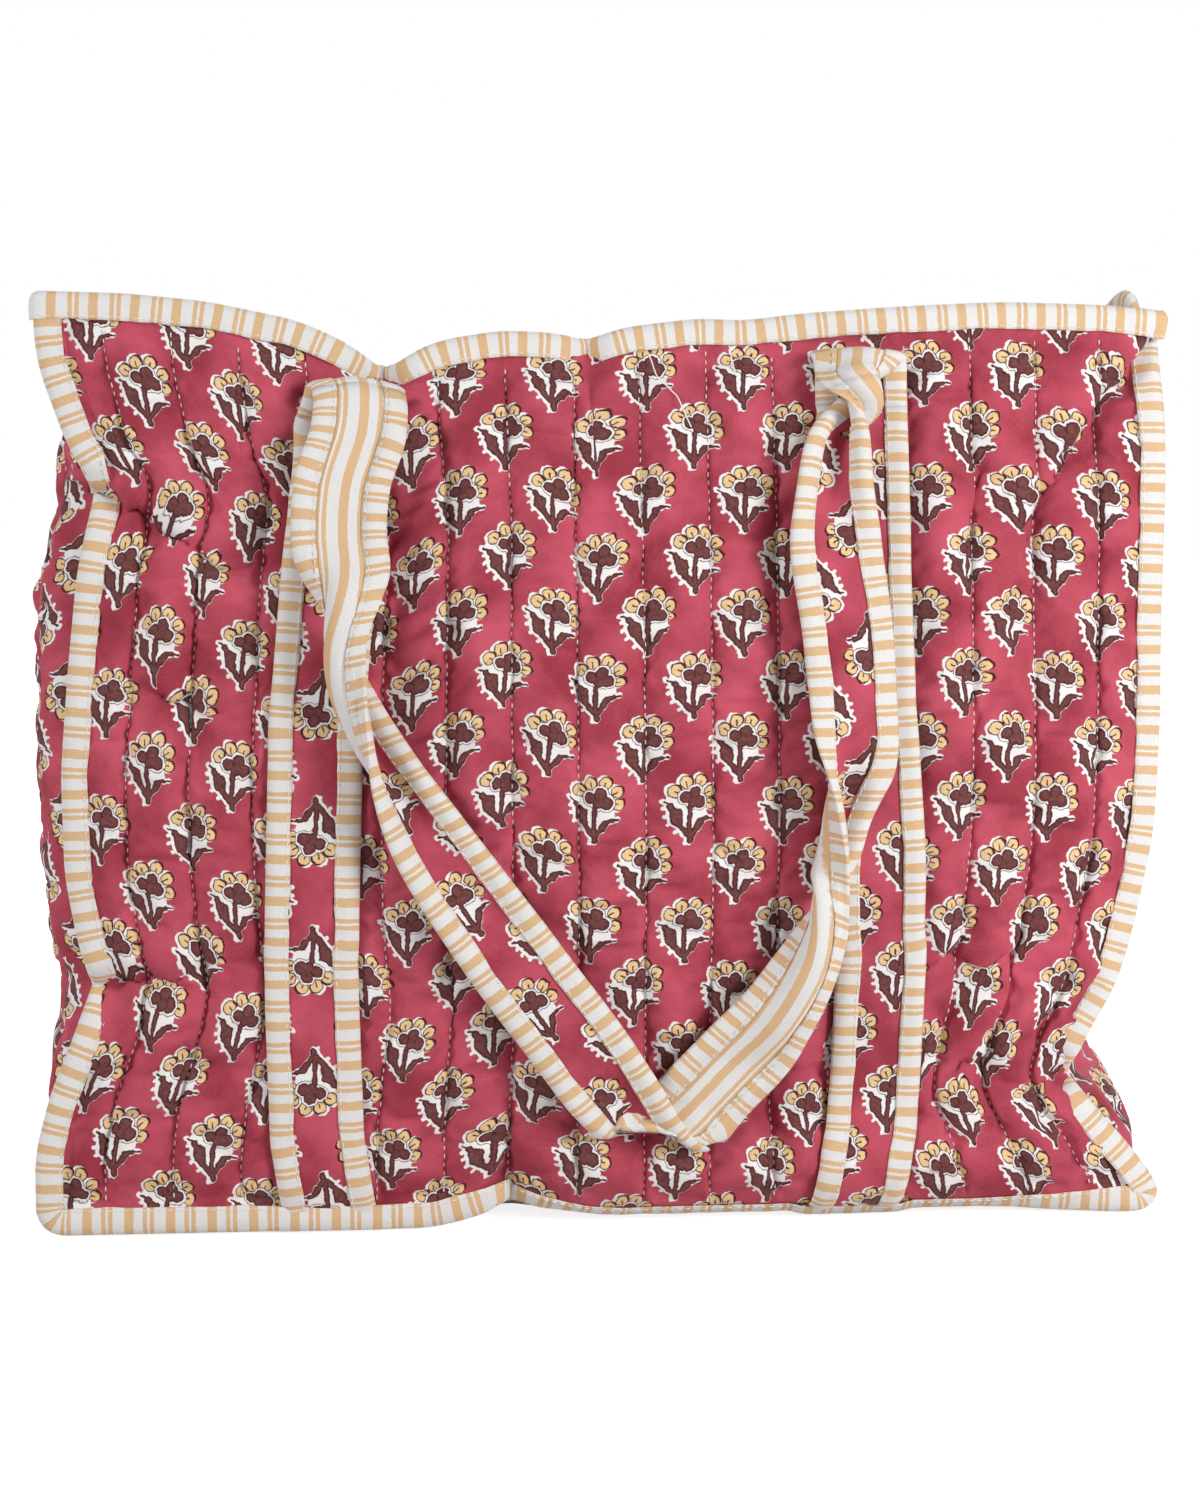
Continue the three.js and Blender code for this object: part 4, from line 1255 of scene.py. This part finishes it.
def cotton_thread(name):
    """White sewing thread with a fine twist, 0.5 mm to a turn, with painted shade in the grooves between its
    plies.
    """
    material, tree = bare_material(name)
    cloth = add(tree, "UVMap", uv_map="cloth")
    waves = {"Vector": cloth, "Scale": 600.0, "Distortion": 1.0}
    # Diagonal bands of painted shade stand in for the grooves of the twist.
    twist = add(tree, "TexWave", waves, "Fac", bands_direction="DIAGONAL")
    shades = {6: linear(THREAD_GROOVE_SHADE), 7: linear(THREAD_WHITE)}
    shade = add(tree, "Mix", {0: twist, **shades}, 2, data_type="RGBA")
    shader = add(tree, "BsdfPrincipled", {"Base Color": shade, "Roughness": 0.6, "Sheen Weight": 0.1})
    add(tree, "OutputMaterial", [shader], None)
    return material


panel_print = printed_cotton("block-printed raspberry cotton", (-7.2, -23))
back_print = printed_cotton("block-printed raspberry cotton, back", (12, 9))
gusset_print = printed_cotton("block-printed raspberry cotton, gusset", (1, 5))
strap_print = printed_cotton("block-printed raspberry cotton, strap", (0, -11))
binding_cotton = striped_cotton("striped cotton cut for binding", False)
lining_cotton = striped_cotton("striped cotton lining", True)
white_thread = cotton_thread("white cotton thread")


# Front, back and gusset
front_quilt, front_face = panel_quilt("front_quilt", front, (LEFT_TAIL, RIGHT_TAIL), 11, panel_print)
back_quilt, back_face = panel_quilt("back_quilt", back, (BACK_LEFT_TAIL, BACK_RIGHT_TAIL), 23, back_print)
front_lining = panel_lining("front_lining_sheet", front, 5, lining_cotton)
back_lining = panel_lining("back_lining_sheet", back, 6, lining_cotton)
gusset_quilt, gusset_lining, gusset_face = gusset_pieces(gusset_print, lining_cotton)
for quilt, nodes in (
    (front_quilt, ("front_outer_cloth", "front_wadding")),
    (back_quilt, ("back_outer_cloth", "back_wadding")),
    (gusset_quilt, ("gusset_outer_cloth", "gusset_wadding")),
):
    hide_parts(*nodes)
    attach(quilt, "bag")


def bag_binding(name, node, stations, seed, tails=()):
    origin = stations[0]
    lift = np.zeros(len(origin))
    for tail in tails:
        from_tail = np.abs(origin[:, 0] - tail[0][0])
        over_tail = (1 - smoothstep(*FOOT_LIFT_FADE, from_tail)) * (origin[:, 2] < FOOT_LIFT_BELOW)
        lift += FOOT_LIFT_OVER_TAIL * over_tail
    outline = folded_edge(run_along(origin), seed, lift=lift)
    piece = swept(name, stations, outline, binding_cotton, 1, 1)
    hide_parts(node)
    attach(piece, "bag")
    return piece


front_seam = seam_stations(front, PANEL_HEIGHT - BINDING_WIDTH)
back_seam = seam_stations(back, PANEL_HEIGHT - BINDING_WIDTH)
front_mouth = mouth_stations(front)
back_mouth = mouth_stations(back)
shares = np.linspace(0.0, 1.0, 27)
left_mouth = gusset_end_stations(0, 3, shares)
right_mouth = gusset_end_stations(-1, -4, shares[::-1])
front_tails = (LEFT_TAIL, RIGHT_TAIL[::-1])
back_tails = (BACK_LEFT_TAIL, BACK_RIGHT_TAIL[::-1])
front_seam_piece = bag_binding("front_seam_binding_cloth", "front_seam_binding", front_seam, 41, front_tails)
back_seam_piece = bag_binding("back_seam_binding_cloth", "back_seam_binding", back_seam, 43, back_tails)
front_mouth_piece = bag_binding("front_mouth_binding_cloth", "mouth_binding_front", front_mouth, 45)
back_mouth_piece = bag_binding("back_mouth_binding_cloth", "mouth_binding_back", back_mouth, 47)
left_mouth_piece = bag_binding("left_mouth_binding_cloth", "mouth_binding_left", left_mouth, 49)
right_mouth_piece = bag_binding("right_mouth_binding_cloth", "mouth_binding_right", right_mouth, 51)

for lining, node, cut, bound in (
    (front_lining, "front_lining", (PANEL_WIDTH, PANEL_HEIGHT), [front_seam_piece, front_mouth_piece]),
    (back_lining, "back_lining", (PANEL_WIDTH, PANEL_HEIGHT), [back_seam_piece, back_mouth_piece]),
    (gusset_lining, "gusset_lining", (BASE_DEPTH, gusset.run[-1]), [left_mouth_piece, right_mouth_piece]),
):
    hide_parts(node)
    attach(lining, "bag")


def make_handle(handle, panel, hung_before, pieces, seed):
    """A whole handle: tails on the bag, the loop on its own body, and folds between them that are on neither
    body.
    """
    stations, curl, slant, cuts = strap_stations(panel, hung_before, pieces)
    run = run_along(stations[0])
    parts = ["left_tail", "left_fold", "loop", "right_fold", "right_tail"]
    outlines = {
        "printed_strip": (strip_outline(run, 1, seed), strap_print, -1, -1, "printed_cotton"),
        "striped_strip": (strip_outline(run, -1, seed), lining_cotton, 1, 1, "striped_cotton"),
    }
    for what, side, own_seed in (("left_edge_binding", -1, seed + 1), ("right_edge_binding", 1, seed + 2)):
        outline = strap_binding_outline(run, side, own_seed, seed)
        outlines[what] = (outline, binding_cotton, 1, 1, "striped_cotton")
    for part, start, end in zip(parts, cuts[:-1], cuts[1:]):
        span = slice(start, end + 1)
        placed = tuple(value[span] for value in stations)
        made = {}
        for what, (outline, material, across_map, along_map, slot) in outlines.items():
            bent = curled(outline[span], curl[span])
            name = f"{handle}_{part}_{what}_cloth"
            drift = STRIP_DRIFT if what == "printed_strip" else 0.0
            piece = swept(name, placed, bent, material, across_map, along_map, run[start], slant[span], drift)
            made[what] = piece
        lines = strap_stitch_lines(placed, run[span], curl[span], seed)
        if "tail" in part:
            lines += box_stitch_lines(placed, part == "left_tail")
        made["stitching"] = stitches(f"{handle}_{part}_stitching", lines, white_thread, FINE_THREAD)
        for what, piece in made.items():
            if part == "loop":
                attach(piece, handle)
            elif "tail" in part:
                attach(piece, "bag")
            if "fold" not in part and what != "stitching":
                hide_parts(f"{handle}_{part}_{what}")
            if "fold" in part:
                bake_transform(piece)


def strap_stitch_lines(stations, run, curl, seed):
    """Top-stitching on both faces, just inside each binding's lip."""
    lines = []
    for side in (-1, 1):
        for face in (-1, 1):
            a = side * (STRIP_HALF - STRAP_BINDING + STRAP_LIP_INSET)
            height = face * STRAP_THREAD_HEIGHT + strap_cup(run, np.array([[a]]), seed)
            flat = np.stack([np.full(height.shape, a), height], -1)
            above = np.stack([np.full(height.shape, a), height + face], -1)
            line, tip = (laid_out(stations, curled(outline, curl))[:, 0] for outline in (flat, above))
            lines.append(stitch_line(line, unit(tip - line), TOP_STITCH, TOP_STITCH_PITCH))
    return lines


def box_stitch_lines(stations, head_last):
    """A box of stitches that holds the head of a tail to the bag."""
    origin, across, normal = stations
    rows = [-row - 1 for row in BOX_ROWS] if head_last else BOX_ROWS
    half = STRIP_HALF - STRAP_BINDING
    corners = [(rows[0], -half), (rows[0], half), (rows[1], half), (rows[1], -half), (rows[0], -half)]
    box = np.array([origin[k] + across[k] * a + normal[k] * BOX_THREAD_HEIGHT for k, a in corners])
    out = np.array([normal[k] for k, a in corners])
    return [stitch_line(box[k : k + 2], out[k : k + 2], TOP_STITCH, TOP_STITCH_PITCH) for k in range(4)]


make_handle("front_handle", front, front_uncreased, front_strap_rows(), 61)
make_handle("back_handle", back, back, back_strap_rows(), 71)


# Thread on the bag
def quilting_lines(face, seams):
    """Running stitches along the seams of a quilted face."""
    lines = []
    sideways = np.gradient(face, axis=0)
    upwards = np.gradient(face, axis=1)
    normal = unit(np.cross(sideways, upwards))
    for seam in seams:
        at = (seam * 2 * CHANNEL_CELLS, slice(UNSTITCHED_ROWS, -UNSTITCHED_ROWS))
        skip = QUILT_STITCH_STAGGER * (seam % 5)
        line = stitch_line(face[at], normal[at], QUILT_STITCH, QUILT_STITCH_PITCH, QUILT_STITCH_RISE, skip)
        lines.append(line)
    return lines


thread_pieces = []
for name, face, channels in (
    ("front_quilting", front_face, CHANNELS),
    ("back_quilting", back_face, CHANNELS),
    ("gusset_quilting", gusset_face, GUSSET_CHANNELS),
):
    lines = quilting_lines(face, range(1, channels))
    thread_pieces.append(stitches(name, lines, white_thread))
binding_lines = []
for origin, across, normal in (front_seam, back_seam, front_mouth, back_mouth, left_mouth, right_mouth):
    line = origin + across * (-BINDING_WIDTH + LIP_INSET) + normal * (EDGE_STACK + BINDING_FOLD)
    binding_lines.append(stitch_line(line, normal, TOP_STITCH, TOP_STITCH_PITCH))
thread_pieces.append(stitches("binding_stitching", binding_lines, white_thread, FINE_THREAD))


def loose_thread(name, panel, places):
    """A thread end left uncut, lying on the panel."""
    places = np.array(places, float)
    at = np.linspace(0, len(places) - 1, 6 * len(places))
    across, up, height = (np.interp(at, np.arange(len(places)), places[:, k]) for k in range(3))
    origin = panel.above(across, up, CREST_HEIGHT + height + 0.5 * wander(at, 2.5, 3))
    stations = edge_stations(origin, panel.normal(across, up))
    turn = np.linspace(0, 2 * math.pi, 7)[:-1]
    outline = np.stack([np.cos(turn), np.sin(turn)], -1) * THREAD / 2
    return swept(name, stations, outline, white_thread, 1, 1)


left_thread = [(17, 356, 0.6), (20, 346, 1.2), (28, 337, 1.0), (33, 324, 0.8)]
right_thread = [(49, 357, 0.6), (50, 350, 1.4), (52, 341, 0.8)]
thread_pieces.append(loose_thread("loose_thread_left", front, left_thread))
thread_pieces.append(loose_thread("loose_thread_right", front, right_thread))
for piece in thread_pieces:
    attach(piece, "bag")


# Floor, light and camera
FLOOR_GLOW = 0.835
ROOM_LIGHT = 0.21


def seen_directly(tree):
    """1 for what the camera sees, straight or in a reflection, and 0 for light that falls on the bag."""
    path = add(tree, "LightPath", out=None)
    seen = add(tree, "Math", [path["Is Camera Ray"], path["Is Glossy Ray"]], operation="MAXIMUM")
    return add(tree, "Math", [seen, path["Is Transmission Ray"]], operation="MAXIMUM")


def white_floor():
    """A pale floor that the camera sees as white, apart from the bag's shadow."""
    bpy.ops.object.select_all(action="DESELECT")
    bpy.ops.mesh.primitive_plane_add(size=12, location=(0, 0, -0.0005))
    floor = bpy.context.active_object
    floor.name = "studio_floor"
    material, tree = bare_material("pale studio floor")
    paper = add(tree, "BsdfDiffuse", {"Color": (0.8, 0.8, 0.8, 1)})
    glow_strength = add(tree, "Math", [seen_directly(tree), FLOOR_GLOW], operation="MULTIPLY")
    glow = add(tree, "Emission", {"Strength": glow_strength})
    both = add(tree, "AddShader", [paper, glow])
    add(tree, "OutputMaterial", [both], None)
    floor.data.materials.append(material)


def white_room():
    """White where the camera sees it, and a dim light from all round on the bag."""
    world = bpy.data.worlds.new("white studio")
    bpy.context.scene.world = world
    world.use_nodes = True
    tree = world.node_tree
    tree.nodes.clear()
    strength = add(tree, "MapRange", {0: seen_directly(tree), 3: ROOM_LIGHT, 4: 1.0})
    sky = add(tree, "Background", {"Color": (1, 1, 1, 1), "Strength": strength})
    add(tree, "OutputWorld", [sky], None)


def aimed(data, place, target):
    """A lamp or camera at a place, turned to a target."""
    holder = bpy.data.objects.new(data.name, data)
    holder.location = place
    holder.rotation_euler = (Vector(target) - Vector(place)).to_track_quat("-Z", "Y").to_euler()
    bpy.context.collection.objects.link(holder)
    return holder


def soft_lamp(name, place, target, size, power):
    lamp = bpy.data.lights.new(name, "AREA")
    lamp.shape = "DISK"
    lamp.size = size
    lamp.energy = power
    aimed(lamp, place, target)


def camera_at(place, target, lens):
    data = bpy.data.cameras.new("studio_camera")
    data.sensor_fit = "VERTICAL"
    data.sensor_height = 36
    data.lens = lens
    bpy.context.scene.camera = aimed(data, place, target)


white_floor()
white_room()
soft_lamp("window_left", (-2.4, -1.3, 1.9), (0, 0, 0.18), 0.8, 50)
soft_lamp("window_right", (1.15, -1.15, 0.65), (0, 0, 0.18), 0.7, 21)
soft_lamp("window_back", (0.9, 2.6, 1.5), (0, 0, 0.2), 1.2, 45)
camera_at((-0.0986, -1.189, 0.3155), (0.0012, 0, 0.188), 70.09)
bpy.context.scene.view_settings.view_transform = "Standard"
